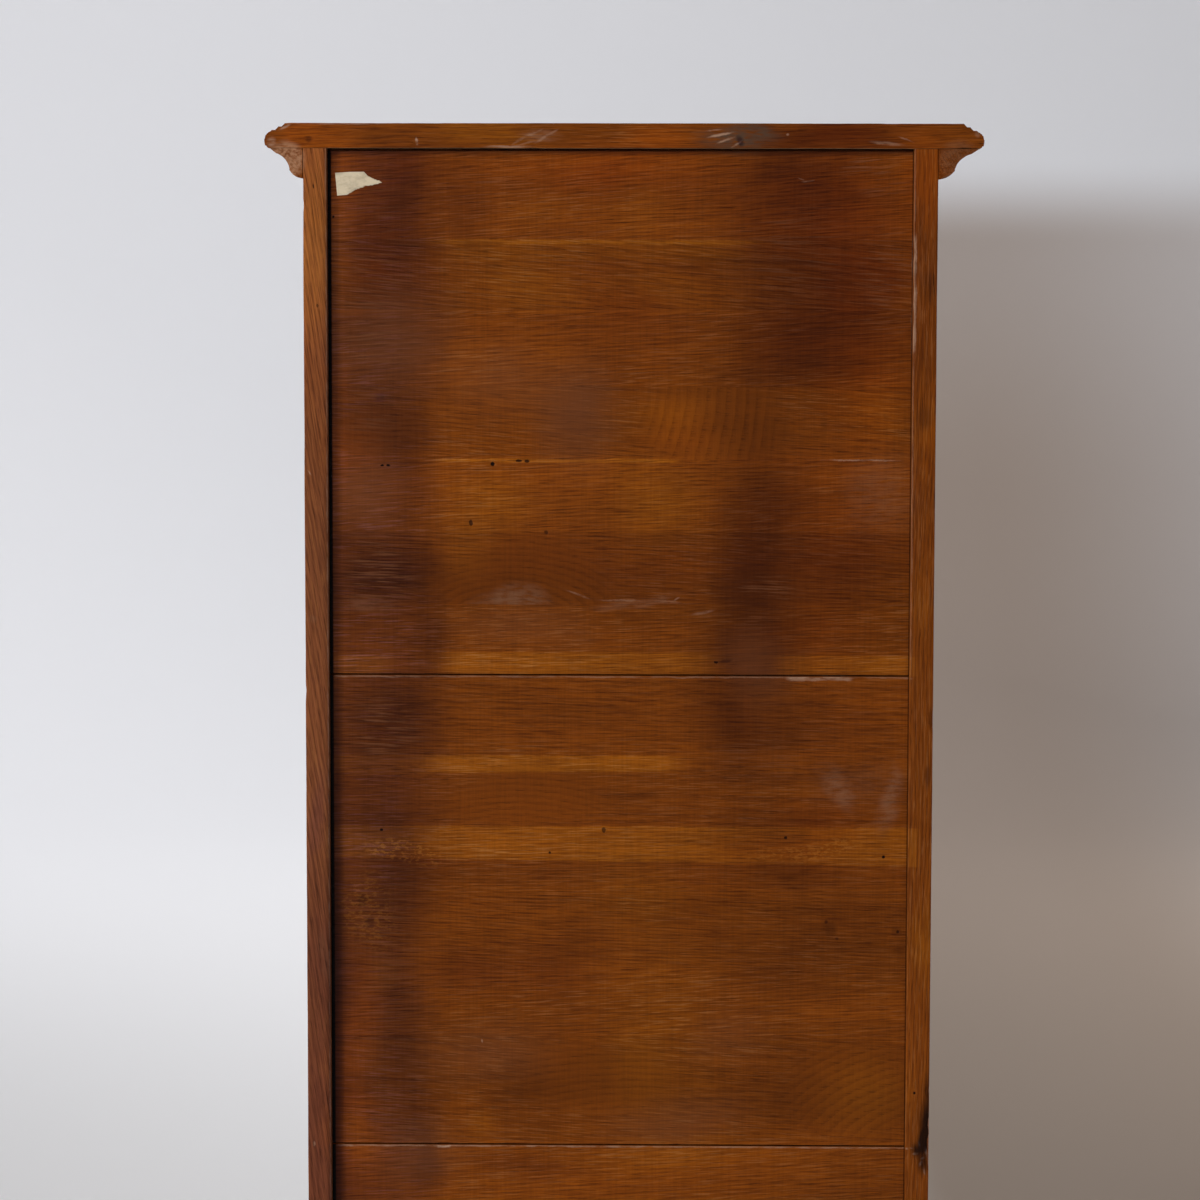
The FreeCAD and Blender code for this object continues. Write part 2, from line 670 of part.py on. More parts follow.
def shelves():
    """The cupboard floor and three shelves, each lying on a pair of battens."""
    wide = (-(INNER - 1), INNER - 1)
    rear = BACK_IN - 1
    under = DOORS_LOW - D["floor_thick"]
    floor = board("cupboard_floor", wide, (FRONT + D["rail_deep"], rear), (under, DOORS_LOW))
    node("cupboard_floor", [floor])
    undersides = {"floor": (under, FRONT + D["rail_deep"])}
    pitch = (DOORS_HIGH - DOORS_LOW) / 4
    for i, name in enumerate(("lower", "middle", "upper"), 1):
        top = DOORS_LOW + pitch * i
        front = FRONT + D["shelf_set_back"]
        made = board(f"shelf_{name}", wide, (front, rear), (top - D["shelf_thick"], top))
        node(f"shelf_{name}", [made])
        undersides[name] = (top - D["shelf_thick"], front + D["batten_set_back"])
    battens = []
    for name, (level, front) in undersides.items():
        for side, sign in SIDES.items():
            x = across(sign, INNER - D["batten_wide"], INNER)
            tall = (level - D["batten_tall"], level)
            battens.append(board(f"batten_{name}_{side}", x, (front, rear - 1), tall))
    node("shelf_battens", battens)


def door_stop():
    """The strip behind the top rail that the doors close against."""
    low, high = DOORS_HIGH - D["stop_half"], DOORS_HIGH + D["stop_half"]
    front = FRONT + D["rail_thick"]
    made = board("door_stop", (-INNER, INNER), (front, front + D["stop_wide"]), (low, high))
    hole = (-KEY_X, ROD_Y, low - 1)
    rod(made, "Z", hole, high - low + 2, D["rod_radius"] + D["rod_slack"], cut=True)
    node("door_stop", [made])


def door(name, sign):
    """Two stiles, three rails and two fielded panels, with gains for three hinges."""
    middle = (DOOR_LOW + D["lock_rail_up"], DOOR_LOW + D["lock_rail_up"] + D["door_lock_rail"])
    rails = {
        "bottom": (DOOR_LOW, DOOR_LOW + D["door_low_rail"]),
        "middle": middle,
        "top": (DOOR_HIGH - D["door_top_rail"], DOOR_HIGH),
    }
    openings = {
        "lower": (rails["bottom"][1], rails["middle"][0]),
        "upper": (rails["middle"][1], rails["top"][0]),
    }
    thick, tall = (FRONT, DOOR_BACK), (DOOR_LOW, DOOR_HIGH)
    near, far = DOOR_IN + D["door_stile"], DOOR_OUT - D["door_stile"]
    tongue_front = (D["door_thick"] - D["door_tongue"]) / 2
    tongue = (FRONT + tongue_front, FRONT + tongue_front + D["door_tongue"])
    meeting = board(f"door_{name}_meeting_stile", across(sign, DOOR_IN, near), thick, tall)
    hanging = board(f"door_{name}_hinge_stile", across(sign, far, DOOR_OUT), thick, tall)
    for low, high in openings.values():
        groove = (low - D["door_groove"], high + D["door_groove"])
        block(meeting, across(sign, near - D["door_groove"], near), tongue, groove, cut=True)
        block(hanging, across(sign, far, far + D["door_groove"]), tongue, groove, cut=True)
    made = []
    for place, (low, high) in rails.items():
        rail = board(f"door_{name}_{place}_rail", across(sign, near, far), thick, (low, high))
        tenon = (low + D["shoulder"], high - D["shoulder"])
        reach = D["door_tenon"]
        block(rail, across(sign, near - reach, far + reach), tongue, tenon)
        block(meeting, across(sign, near - reach, near), tongue, tenon, cut=True)
        block(hanging, across(sign, far, far + reach), tongue, tenon, cut=True)
        span = across(sign, near, far)
        if place != "bottom":
            block(rail, span, tongue, (low, low + D["door_groove"]), cut=True)
        if place != "top":
            block(rail, span, tongue, (high - D["door_groove"], high), cut=True)
        made.append(rail)
    for level in HINGES:
        leaf = (level - D["leaf_tall"] / 2, level + D["leaf_tall"] / 2)
        gain = across(sign, DOOR_OUT - D["leaf_thick"], DOOR_OUT)
        block(hanging, gain, (FRONT, FRONT + D["leaf_wide"]), leaf, cut=True)
    if name == "right":
        keyhole(meeting, (FRONT - 1, DOOR_BACK + 1))
        rod(meeting, "Y", (KEY_X, FRONT - 1, KNOB_Z), 15, D["knob_spigot"] + 0.1, cut=True)
    node(f"door_{name}_meeting_stile", [meeting])
    node(f"door_{name}_hinge_stile", [hanging])
    node(f"door_{name}_rails", made)
    panels = []
    for place, (low, high) in openings.items():
        panel = new_body(f"door_{name}_{place}_panel")
        hidden = D["door_groove"] - 1
        plate = (tongue[0] + D["panel_slack"], tongue[1] - D["panel_slack"])
        deep = (low - D["door_groove"], high + D["door_groove"] - 2)
        block(panel, across(sign, near - hidden, far + hidden), plate, deep)
        wide, high_low = across(sign, near + 1, far - 1), (low + 1, high - 1)
        bevel = D["panel_bevel"]
        frustum(panel, "front", wide, high_low, -plate[0], D["panel_rise"], bevel)
        field = plate[0] - D["panel_rise"]
        block(
            panel,
            (wide[0] + bevel, wide[1] - bevel),
            (field - D["panel_step"], field),
            (high_low[0] + bevel, high_low[1] - bevel),
        )
        panels.append(panel)
    node(f"door_{name}_panels", panels)


def keyhole(body, y):
    """A round hole with a slot below it, cut along Y."""
    long = size(y[1]) - y[0]
    rod(body, "Y", (KEY_X, y[0], KEY_Z), long, D["keyhole_radius"], cut=True)
    slot = (KEY_X - D["keyhole_slot"], KEY_X + D["keyhole_slot"])
    block(body, slot, y, (KEY_Z - D["keyhole_drop"], KEY_Z), cut=True)


KNUCKLES = 5
KNUCKLE_SLACK = 0.15  # air between two knuckles, each side


def hinges():
    """Three butt hinges to a door: case leaf, door leaf and pin."""
    axis_y = FRONT - D["knuckle_set_out"]
    axis_x = INNER - D["door_gap"] / 2
    bore = D["pin_radius"] + D["pin_slack"]
    case_leaves, pins = [], []
    for name, sign in SIDES.items():
        door_leaves = []
        for i, level in enumerate(HINGES):
            low = level - D["leaf_tall"] / 2
            high = level + D["leaf_tall"] / 2
            pair = {
                "case": (INNER, INNER + D["leaf_thick"], 0),
                "door": (DOOR_OUT - D["leaf_thick"], DOOR_OUT, 1),
            }
            for owner, (inner, outer, first) in pair.items():
                x = across(sign, inner, outer)
                leaf = board(
                    f"leaf_{owner}_{name}_{i}", x, (FRONT + 0.2, FRONT + D["leaf_wide"]), (low, high)
                )
                for k in range(first, KNUCKLES, 2):
                    start = low + D["leaf_tall"] * (k / KNUCKLES) + KNUCKLE_SLACK
                    long = D["leaf_tall"] / KNUCKLES - 2 * KNUCKLE_SLACK
                    block(leaf, x, (axis_y, FRONT + 0.3), (start, start + long))
                    centre = (axis_x * sign, axis_y, start)
                    rod(leaf, "Z", centre, long, D["knuckle_radius"])
                hole = (axis_x * sign, axis_y, low - 1)
                rod(leaf, "Z", hole, D["leaf_tall"] + 2, bore, cut=True)
                (case_leaves if owner == "case" else door_leaves).append(leaf)
            pin = new_body(f"pin_{name}_{i}")
            at = (axis_x * sign, axis_y, low - 0.1)
            rod(pin, "Z", at, D["leaf_tall"] + 0.2, D["pin_radius"])
            for tip in (low - 1.9, high + 0.1):
                rod(pin, "Z", (axis_x * sign, axis_y, tip), 1.8, D["knuckle_radius"] * 0.8)
            pins.append(pin)
        node(f"door_{name}_hinge_leaves", door_leaves)
    node("hinge_case_leaves", case_leaves)
    node("hinge_pins", pins)


def knob(label, x, z):
    """A turned knob on the front, revolved about its own axis, with a spigot in the wood."""
    body = new_body(label)
    ball = D["knob_radius"]
    long = D["knob_long"]
    x = size(x)
    points = [
        (x, FRONT - long),
        (x + ball * 0.35, FRONT - long + 0.6),
        (x + ball, FRONT - long * 0.66),
        (x + ball * 0.5, FRONT - long * 0.26),
        (x + ball * 0.66, FRONT - 3),
        (x + ball * 0.66, FRONT),
        (x + D["knob_spigot"], FRONT),
        (x + D["knob_spigot"], FRONT + 13),
        (x, FRONT + 13),
    ]
    arcs = {1: (ball * 0.95, -1), 2: (ball * 1.1, -1), 3: (ball * 0.5, 1)}
    sketch = outline(body, "XY_Plane", points, arcs, offset=z)
    made = feature(body, "Revolution")
    made.Profile = sketch
    made.ReferenceAxis = (sketch, [f"Edge{len(points)}"])
    made.Angle = 360
    return body


def lock_case():
    """A box lock on the back of the right door, open at its edge for the bolt."""
    back, wall = DOOR_BACK, D["lock_wall"]
    wide = (DOOR_IN + 2, DOOR_IN + 2 + D["lock_wide"])
    tall = (KEY_Z - D["lock_below"], KEY_Z + D["lock_above"])
    case = board("lock_case", wide, (back, back + D["lock_deep"]), tall)
    hollow_y = (back + wall, back + D["lock_deep"] - wall)
    hollow_z = (tall[0] + wall, tall[1] - wall)
    block(case, (wide[0] + wall, wide[1] - wall), hollow_y, hollow_z, cut=True)
    keyhole(case, (back - 1, back + wall + 0.5))
    mouth_y = (back + D["bolt_back"] - 0.4, back + D["bolt_back"] + D["bolt_thick"] + 0.4)
    mouth_z = (KEY_Z + D["bolt_up"] - 0.4, KEY_Z + D["bolt_up"] + D["bolt_tall"] + 0.4)
    block(case, (wide[0] - 1, wide[0] + wall + 0.5), mouth_y, mouth_z, cut=True)
    stump = (KEY_X, back + wall - 0.5, KEY_Z + D["bolt_up"] + D["bolt_tall"] * 0.68)
    rod(case, "Y", stump, D["lock_deep"] - wall, D["stump_radius"])
    node("lock_case", [case])


def lock_bolt():
    """The bolt, drawn back, with its talon notch below and the slot that the stump runs in."""
    back = DOOR_BACK
    thick = (back + D["bolt_back"], back + D["bolt_back"] + D["bolt_thick"])
    through = (thick[0] - 1, thick[1] + 1)
    low = KEY_Z + D["bolt_up"]
    wide = (DOOR_IN + 1.4, KEY_X + D["bolt_tail"])
    bolt = board("lock_bolt", wide, thick, (low, low + D["bolt_tall"]))
    talon = KEY_X + D["bolt_throw"] / 2
    notch = (talon - D["talon_half"], talon + D["talon_half"])
    block(bolt, notch, through, (low - 1, low + D["talon_deep"]), cut=True)
    slack = D["stump_radius"] + 0.4
    slide = (KEY_X - slack, KEY_X + D["bolt_throw"] + slack)
    stump = low + D["bolt_tall"] * 0.68
    block(bolt, slide, through, (stump - slack, stump + slack), cut=True)
    node("lock_bolt", [bolt])


def key():
    """The key in the lock: shank, collar, ring bow, and a bit that leans towards the hinges."""
    back, stem = DOOR_BACK, D["key_stem"]
    body = new_body("key")
    tip = back + D["lock_deep"] - D["lock_wall"] - 1
    rod(body, "Y", (KEY_X, FRONT - stem, KEY_Z), tip - (FRONT - stem), D["key_radius"])
    collar = (KEY_X, FRONT - 5, KEY_Z)
    rod(body, "Y", collar, 2.5, D["key_radius"] * 1.7)
    bow = feature(body, "AdditiveTorus")
    bind(bow, "Radius1", D["bow_radius"])
    bind(bow, "Radius2", D["bow_wire"])
    lean = FreeCAD.Rotation(FreeCAD.Vector(0, 1, 0), -45)
    bow.Placement = FreeCAD.Placement(FreeCAD.Vector(), lean)
    locate(bow, KEY_X, FRONT - stem - D["bow_radius"], KEY_Z)
    bit = feature(body, "AdditiveBox")
    bind(bit, "Length", D["bit_thick"])
    bind(bit, "Width", D["bit_wide"])
    bind(bit, "Height", D["bit_long"] - 1)
    turn = FreeCAD.Rotation(FreeCAD.Vector(0, 1, 0), 45)
    bit.Placement = FreeCAD.Placement(FreeCAD.Vector(), turn)
    sine = math.sin(math.radians(45))
    half = D["bit_thick"] / 2
    corner_x = KEY_X + (size(1) - half) * sine
    corner_z = KEY_Z + (size(1) + half) * sine
    locate(bit, corner_x, back + D["bolt_back"] + 0.3, corner_z)
    node("key", [body])


def escutcheon():
    """A brass plate with round ends over the keyhole."""
    plate = new_body("escutcheon")
    half, straight = D["plate_half"], D["plate_straight"]
    rim = [
        (KEY_X - half, KEY_Z - straight),
        (KEY_X + half, KEY_Z - straight),
        (KEY_X + half, KEY_Z + straight),
        (KEY_X - half, KEY_Z + straight),
    ]
    round_ends = {0: (half * 1.02, -1), 2: (half * 1.02, -1)}
    sketch = outline(plate, "XZ_Plane", rim, round_ends, offset=-FRONT)
    pad(plate, sketch, D["lock_wall"])
    keyhole(plate, (FRONT - 3, FRONT + 1))
    node("escutcheon", [plate])


def lock_keeper():
    """The box on the back of the left door that the bolt shoots into."""
    back = DOOR_BACK
    wide = (-DOOR_IN - 1 - D["keeper_wide"], -DOOR_IN - 1)
    low, high = KEY_Z + D["bolt_up"], KEY_Z + D["bolt_up"] + D["bolt_tall"]
    out = D["bolt_back"] + D["bolt_thick"]
    keeper = board("lock_keeper", wide, (back, back + out + 2.5), (low - 4, high + 4))
    slot_y = (back + D["bolt_back"] - 1, back + out + 1)
    block(keeper, (wide[0] - 1, wide[1] + 1), slot_y, (low - 1, high + 1), cut=True)
    node("lock_keeper", [keeper])


def shoot_bolts():
    """Two sliding bolts on the back of the left door, up into the stop and down into the rail."""
    back, x = DOOR_BACK, -KEY_X
    ends = {"top": (1, DOOR_HIGH - D["rod_drop"]), "bottom": (-1, DOOR_LOW + D["rod_lift"])}
    half = D["bracket_half"]
    plates = []
    for name, (sign, end) in ends.items():

        def span(near, far):
            """Heights at two distances inwards from the bolt's own end."""
            return (end - far, end - near) if sign > 0 else (end + near, end + far)

        wall = (back, back + D["lock_wall"])
        plate = board(f"bolt_plate_{name}", (x - half - 1, x + half + 1), wall, span(6, 92))
        for near, far in ((14, 24), (70, 80)):
            low, high = span(near, far)
            block(plate, (x - half, x + half), (wall[1], back + D["bracket_out"]), (low, high))
            bore = D["rod_radius"] + D["rod_slack"]
            rod(plate, "Z", (x, ROD_Y, low - 1), high - low + 2, bore, cut=True)
        plates.append(plate)
        low, high = span(0, D["rod_long"])
        bolt = new_body(f"bolt_rod_{name}")
        rod(bolt, "Z", (x, ROD_Y, low), high - low, D["rod_radius"])
        grip = span(50, 50)[0]
        rod(bolt, "Y", (x, ROD_Y + 2, grip), 9, D["rod_radius"] * 0.65)
        rod(bolt, "Y", (x, ROD_Y + 10, grip), 4, D["rod_radius"] * 1.1)
        node(f"bolt_rod_{name}", [bolt])
    node("door_left_bolt_plates", plates)


def drawer(name, low, tall):
    """Front, two sides, back and bottom, dovetailed at the front, with two knobs."""
    wide = INNER - D["drawer_gap"]
    behind = FRONT + D["drawer_front"]
    rear = behind + D["drawer_long"]
    side_top = low + tall - D["drawer_low_side"]
    front = board(
        f"drawer_{name}_front",
        (-wide, wide),
        (FRONT, behind),
        (low + 1, low + tall - D["drawer_gap"]),
    )
    groove = (low + 8, low + 8 + D["drawer_panel"])
    block(front, (-(wide - 7), wide - 7), (behind - 6, behind), groove, cut=True)
    inner = wide - D["drawer_side"]
    tails = 3
    pitch = (side_top - low) / tails
    box = []
    for side, sign in SIDES.items():
        x = across(sign, inner, wide)
        made = board(f"drawer_{name}_{side}_side", x, (behind, rear), (low, side_top))
        for i in range(tails):
            centre = low + pitch * (i + 0.5)
            half = pitch * 0.3
            for body, kind in ((made, "AdditiveWedge"), (front, "SubtractiveWedge")):
                tail = feature(body, kind)
                spans = {
                    "Xmin": x[0],
                    "Xmax": x[1],
                    "X2min": x[0],
                    "X2max": x[1],
                    "Ymin": behind - D["tail_long"],
                    "Ymax": behind,
                    "Zmin": centre - half - D["tail_flare"],
                    "Zmax": centre + half + D["tail_flare"],
                    "Z2min": centre - half,
                    "Z2max": centre + half,
                }
                for prop, length in spans.items():
                    bind(tail, prop, length)
        slot = across(sign, inner, inner + 5)
        block(made, slot, (behind - 6, rear), groove, cut=True)
        box.append(made)
    back = board(
        f"drawer_{name}_back",
        (-inner, inner),
        (rear - D["drawer_side"] - 2, rear - 2),
        (groove[1], side_top - 10),
    )
    box.append(back)
    bottom = board(
        f"drawer_{name}_bottom",
        (-(inner + 4.5), inner + 4.5),
        (behind - 5.5, rear - 1),
        (groove[0] + 0.1, groove[1] - 0.1),
    )
    middle = low + tall / 2
    knobs = []
    for side, sign in SIDES.items():
        at = D["knob_apart"] / 2 * sign
        knobs.append(knob(f"knob_{name}_{side}", at, middle))
        spigot = (at, FRONT - 1, middle)
        rod(front, "Y", spigot, 15, D["knob_spigot"] + 0.1, cut=True)
    node(f"drawer_{name}_front", [front])
    node(f"drawer_{name}_box", box)
    node(f"drawer_{name}_bottom", [bottom])
    node(f"drawer_{name}_knobs", knobs)


def runners():
    """A runner under each drawer side, from the front rail to the back, with a stop at its end."""
    stop = FRONT + D["drawer_front"] + D["drawer_long"] + 0.5
    made = []
    for name, level in (("lower", LOW_DRAWER), ("upper", HIGH_DRAWER)):
        for side, sign in SIDES.items():
            x = across(sign, INNER - D["runner_wide"], INNER)
            y = (FRONT + D["rail_deep"], BACK_OUT - D["rail_thick"])
            piece = board(f"runner_{name}_{side}", x, y, (level - D["runner_tall"], level))
            block(piece, x, (stop, stop + 14), (level, level + 16))
            made.append(piece)
    node("drawer_runners", made)


def check_document():
    """Stops if an object failed or a node has no sound solid."""
    failed = [o.Name for o in doc.Objects if {"Invalid", "Error"} & set(o.State)]
    if failed:
        raise SystemExit(f"failed objects: {failed}")
    for label, thing in NODES.items():
        shape = thing.Shape
        if shape.isNull() or not shape.isValid() or not shape.Solids:
            raise SystemExit(f"{label} has no sound solid")


side_frames()
cross_rails()
back_boards()
top_board()
cornice()
plinth()
shelves()
door_stop()
for door_name, door_sign in SIDES.items():
    door(door_name, door_sign)
hinges()
lock_case()
lock_bolt()
key()
escutcheon()
lock_keeper()
node("door_right_knob", [knob("door_right_knob", KEY_X, KNOB_Z)])
shoot_bolts()
drawer("lower", LOW_DRAWER, D["low_drawer_tall"])
drawer("upper", HIGH_DRAWER, D["high_drawer_tall"])
runners()
doc.recompute()
check_document()
os.makedirs("parts", exist_ok=True)
for label, thing in sorted(NODES.items()):
    thing.Shape.exportStep(f"parts/{label}.step")
    print(label, len(thing.Shape.Solids), round(thing.Shape.Volume / 1000, 1), "cm3")
print(len(NODES), "nodes")
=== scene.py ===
"""Looks of an oak linen press: shellacked oak with a stained and worn back, aged brass, dark iron.

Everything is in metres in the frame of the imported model: X across the front, doors to -Y, back to
+Y, floor at Z 0. Places of stains and marks on the back are in millimetres in the tables below.
"""
import math
from collections import namedtuple
from fnmatch import fnmatchcase

import bpy
from mathutils import Matrix, Vector, noise


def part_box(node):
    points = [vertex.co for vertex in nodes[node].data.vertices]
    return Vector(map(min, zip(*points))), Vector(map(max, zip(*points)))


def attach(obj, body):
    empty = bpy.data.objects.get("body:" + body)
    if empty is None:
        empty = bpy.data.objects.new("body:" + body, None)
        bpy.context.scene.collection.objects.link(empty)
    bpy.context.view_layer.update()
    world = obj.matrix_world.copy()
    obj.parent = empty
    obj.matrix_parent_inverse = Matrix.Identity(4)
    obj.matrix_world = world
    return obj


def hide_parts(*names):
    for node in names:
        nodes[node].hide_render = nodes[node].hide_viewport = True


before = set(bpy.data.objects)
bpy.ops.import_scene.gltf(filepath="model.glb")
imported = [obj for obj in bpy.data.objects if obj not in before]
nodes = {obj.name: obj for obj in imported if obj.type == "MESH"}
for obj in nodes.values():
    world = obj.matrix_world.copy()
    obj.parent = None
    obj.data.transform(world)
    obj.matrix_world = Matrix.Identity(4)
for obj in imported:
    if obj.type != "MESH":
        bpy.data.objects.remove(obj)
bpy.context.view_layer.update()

MM = 0.001
scene = bpy.context.scene


# ------------------------------------------------------------------ camera, floor and light

# The camera of the photograph: it stands well behind the press, a little below its top.
CAMERA_PLACE = Vector((-0.0444, 4.5538, 1.6702))
CAMERA_YAW, CAMERA_PITCH, CAMERA_ROLL = (math.radians(a) for a in (0.926, 5.517, -0.097))
CAMERA_LENS = 117.0

# The floor: how far out it is flat, how far out its wall stands, and how tall that is.
BOWL_FLAT, BOWL_WALL, BOWL_TALL = 6.2, 11.2, 7.0
BOWL_STEPS, BOWL_TURN = 16, 96


def add_camera():
    """The camera, turned by its yaw, then its pitch, then its roll."""
    data = bpy.data.cameras.new("camera")
    data.lens = CAMERA_LENS
    camera = bpy.data.objects.new("camera", data)
    ahead = Vector((math.sin(CAMERA_YAW) * math.cos(CAMERA_PITCH),
                    -math.cos(CAMERA_YAW) * math.cos(CAMERA_PITCH),
                    -math.sin(CAMERA_PITCH)))
    level = ahead.cross(Vector((0, 0, 1))).normalized()
    down = ahead.cross(level)
    right = math.cos(CAMERA_ROLL) * level + math.sin(CAMERA_ROLL) * down
    up = math.sin(CAMERA_ROLL) * level - math.cos(CAMERA_ROLL) * down
    turn = Matrix((right, up, -ahead)).transposed().to_4x4()
    camera.matrix_world = Matrix.Translation(CAMERA_PLACE) @ turn
    scene.collection.objects.link(camera)
    scene.camera = camera


def new_object(name, points, faces, smooth=False):
    """An object with its own mesh, in place in the frame."""
    mesh = bpy.data.meshes.new(name)
    mesh.from_pydata(points, [], faces)
    mesh.validate()
    mesh.update()
    mesh.polygons.foreach_set("use_smooth", [smooth] * len(mesh.polygons))
    made = bpy.data.objects.new(name, mesh)
    scene.collection.objects.link(made)
    return made


def add_bowl():
    """A pale floor that curves up into a wall all round, so that no horizon shows."""
    bend = BOWL_WALL - BOWL_FLAT
    profile = [(BOWL_FLAT * 0.5, 0.0)]
    for i in range(BOWL_STEPS + 1):
        angle = math.pi / 2 * i / BOWL_STEPS
        profile.append((BOWL_FLAT + bend * math.sin(angle), bend * (1 - math.cos(angle))))
    profile.append((BOWL_WALL, BOWL_TALL))
    points = [(0, 0, 0)]
    for radius, height in profile:
        for j in range(BOWL_TURN):
            angle = 2 * math.pi * j / BOWL_TURN
            points.append((radius * math.cos(angle), radius * math.sin(angle), height))
    faces = [(0, 1 + j, 1 + (j + 1) % BOWL_TURN) for j in range(BOWL_TURN)]
    for i in range(len(profile) - 1):
        for j in range(BOWL_TURN):
            a, b = 1 + i * BOWL_TURN, 1 + (i + 1) * BOWL_TURN
            k = (j + 1) % BOWL_TURN
            faces.append((a + j, b + j, b + k, a + k))
    bowl = new_object("studio_bowl", points, faces, smooth=True)
    return bowl


def add_light(name, place, target, size, power, colour):
    """A soft square light that the camera doesn't see."""
    data = bpy.data.lights.new(name, "AREA")
    data.shape, data.size, data.energy, data.color = "SQUARE", size, power, colour
    light = bpy.data.objects.new(name, data)
    light.location = place
    light.rotation_euler = (Vector(target) - Vector(place)).to_track_quat("-Z", "Y").to_euler()
    light.visible_camera = False
    scene.collection.objects.link(light)


# Each light: its name, its place, what it points at, its width, its power in watts, its colour.
LIGHTS = (
    ("window", (4.2, 3.9, 3.4), (0, 0.1, 1.0), 2.2, 270, (1.0, 0.985, 0.96)),
    ("front_fill", (-3.4, -4.4, 3.0), (0, -0.1, 0.8), 2.6, 150, (1.0, 0.98, 0.95)),
    ("wall_wash", (2.4, -4.6, 4.8), (0.0, -10.8, 1.7), 2.8, 168, (0.96, 0.97, 1.0)),
)
SKY_COLOUR, SKY_STRENGTH = (0.95, 0.97, 1.0, 1), 0.20


def add_lights():
    """A window to the side of the back, fill at the front, a light on the wall, and weak light
    all round."""
    for light in LIGHTS:
        add_light(*light)
    world = bpy.data.worlds.new("studio")
    world.use_nodes = True
    sky = world.node_tree.nodes["Background"].inputs
    sky["Color"].default_value = SKY_COLOUR
    sky["Strength"].default_value = SKY_STRENGTH
    scene.world = world
    scene.view_settings.view_transform = "Standard"


# ------------------------------------------------------------------ materials

class Paint:
    """One material. Every method adds nodes to it and gives the socket that they end in."""

    def __init__(self, name):
        self.material = bpy.data.materials.new(name)
        self.material.use_nodes = True
        self.tree = self.material.node_tree
        self.shader = self.tree.nodes["Principled BSDF"]
        where = self.tree.nodes.new("ShaderNodeTexCoord")
        self.place = where.outputs["Object"]
        self.normal = where.outputs["Normal"]
        self.x, self.y, self.z = self.split(self.place)

    def feed(self, socket, value):
        """Links a value that is a socket, and sets any other."""
        if isinstance(value, bpy.types.NodeSocket):
            self.tree.links.new(value, socket)
        else:
            socket.default_value = value

    def node(self, kind, inputs, output=0, **settings):
        """A new node with its settings and inputs. Gives one of its outputs."""
        made = self.tree.nodes.new("ShaderNode" + kind)
        for key, value in settings.items():
            setattr(made, key, value)
        for key, value in inputs.items():
            self.feed(made.inputs[key], value)
        return made.outputs[output]

    def math(self, operation, a, b=0.0, clamp=False):
        return self.node("Math", {0: a, 1: b}, operation=operation, use_clamp=clamp)

    def times(self, a, b):
        return self.math("MULTIPLY", a, b)

    def plus(self, a, b, clamp=False):
        return self.math("ADD", a, b, clamp)

    def less(self, a, b):
        return self.math("SUBTRACT", a, b)

    def vector(self, operation, a, b):
        return self.node("VectorMath", {0: a, 1: b}, operation=operation)

    def split(self, vector):
        """The three parts of a vector."""
        return tuple(self.node("SeparateXYZ", {0: vector}).node.outputs)

    def combine(self, x, y, z):
        """A vector from its three parts."""
        return self.node("CombineXYZ", {0: x, 1: y, 2: z})

    def line(self, value, low, high, start, end, kind="LINEAR"):
        """A run from start at low to end at high, and level beyond them. Low may be the larger."""
        inputs = {"Value": value, "From Min": low, "From Max": high, "To Min": start, "To Max": end}
        return self.node("MapRange", inputs, interpolation_type=kind)

    def step(self, value, low, high, start=0.0, end=1.0):
        """The same, with its ends eased."""
        return self.line(value, low, high, start, end, "SMOOTHSTEP")

    def past(self, value, edge, soft, sign=1, strength=1.0):
        """0 short of an edge, the strength past it. The edge and how soft it is are in millimetres.
        With a sign of -1, past means below it."""
        return self.step(value, (edge - sign * soft / 2) * MM, (edge + sign * soft / 2) * MM, 0.0, strength)

    def blend(self, kind, amount, a, b):
        """Colour a with as much of colour b as the amount says."""
        inputs = {0: amount, 6: a, 7: b}
        return self.node("Mix", inputs, 2, data_type="RGBA", blend_type=kind)

    def noise(self, place, per_metre, detail=2.0, rough=0.5, shift=0.0, output="Fac"):
        """Noise with so many waves to the metre along each axis."""
        inputs = {"Vector": place, "Location": (shift, shift * 0.7, shift * 1.3), "Scale": per_metre}
        where = self.node("Mapping", inputs)
        inputs = {"Vector": where, "Scale": 1.0, "Detail": detail, "Roughness": rough}
        return self.node("TexNoise", inputs, output)

    def warp(self, place, per_metre, amount, shift=0.0):
        """A place moved about by up to half of amount."""
        noise = self.noise(place, per_metre, shift=shift, output="Color")
        off = self.vector("SUBTRACT", noise, (0.5, 0.5, 0.5))
        return self.vector("ADD", place, self.vector("MULTIPLY", off, amount))

    def ramp(self, factor, stops, interpolation="LINEAR"):
        """A colour ramp from its stops, each a place and a colour."""
        made = self.tree.nodes.new("ShaderNodeValToRGB")
        ramp = made.color_ramp
        ramp.interpolation = interpolation
        ramp.elements.remove(ramp.elements[-1])
        ramp.elements[0].position, ramp.elements[0].color = stops[0]
        for position, colour in stops[1:]:
            ramp.elements.new(position).color = colour
        self.tree.links.new(factor, made.inputs[0])
        return made.outputs["Color"]

    def ellipse(self, place, mark, edge):
        """The mark's strength in the middle of its ellipse on the X-Z plane, 0 outside it."""
        inputs = {"Vector": place,
                  "Location": (mark.x * MM, 0, mark.z * MM),
                  "Rotation": (0, math.radians(mark.turn), 0),
                  "Scale": (mark.half_x * MM, 1, mark.half_z * MM)}
        where = self.node("Mapping", inputs, vector_type="TEXTURE")
        inside = self.node("TexGradient", {"Vector": where}, "Fac", gradient_type="SPHERICAL")
        mask = self.step(inside, 0.0, edge, 0.0, mark.strength)
        if mark.foot:
            mask = self.times(mask, self.past(self.z, mark.foot, 1.0))
        return mask

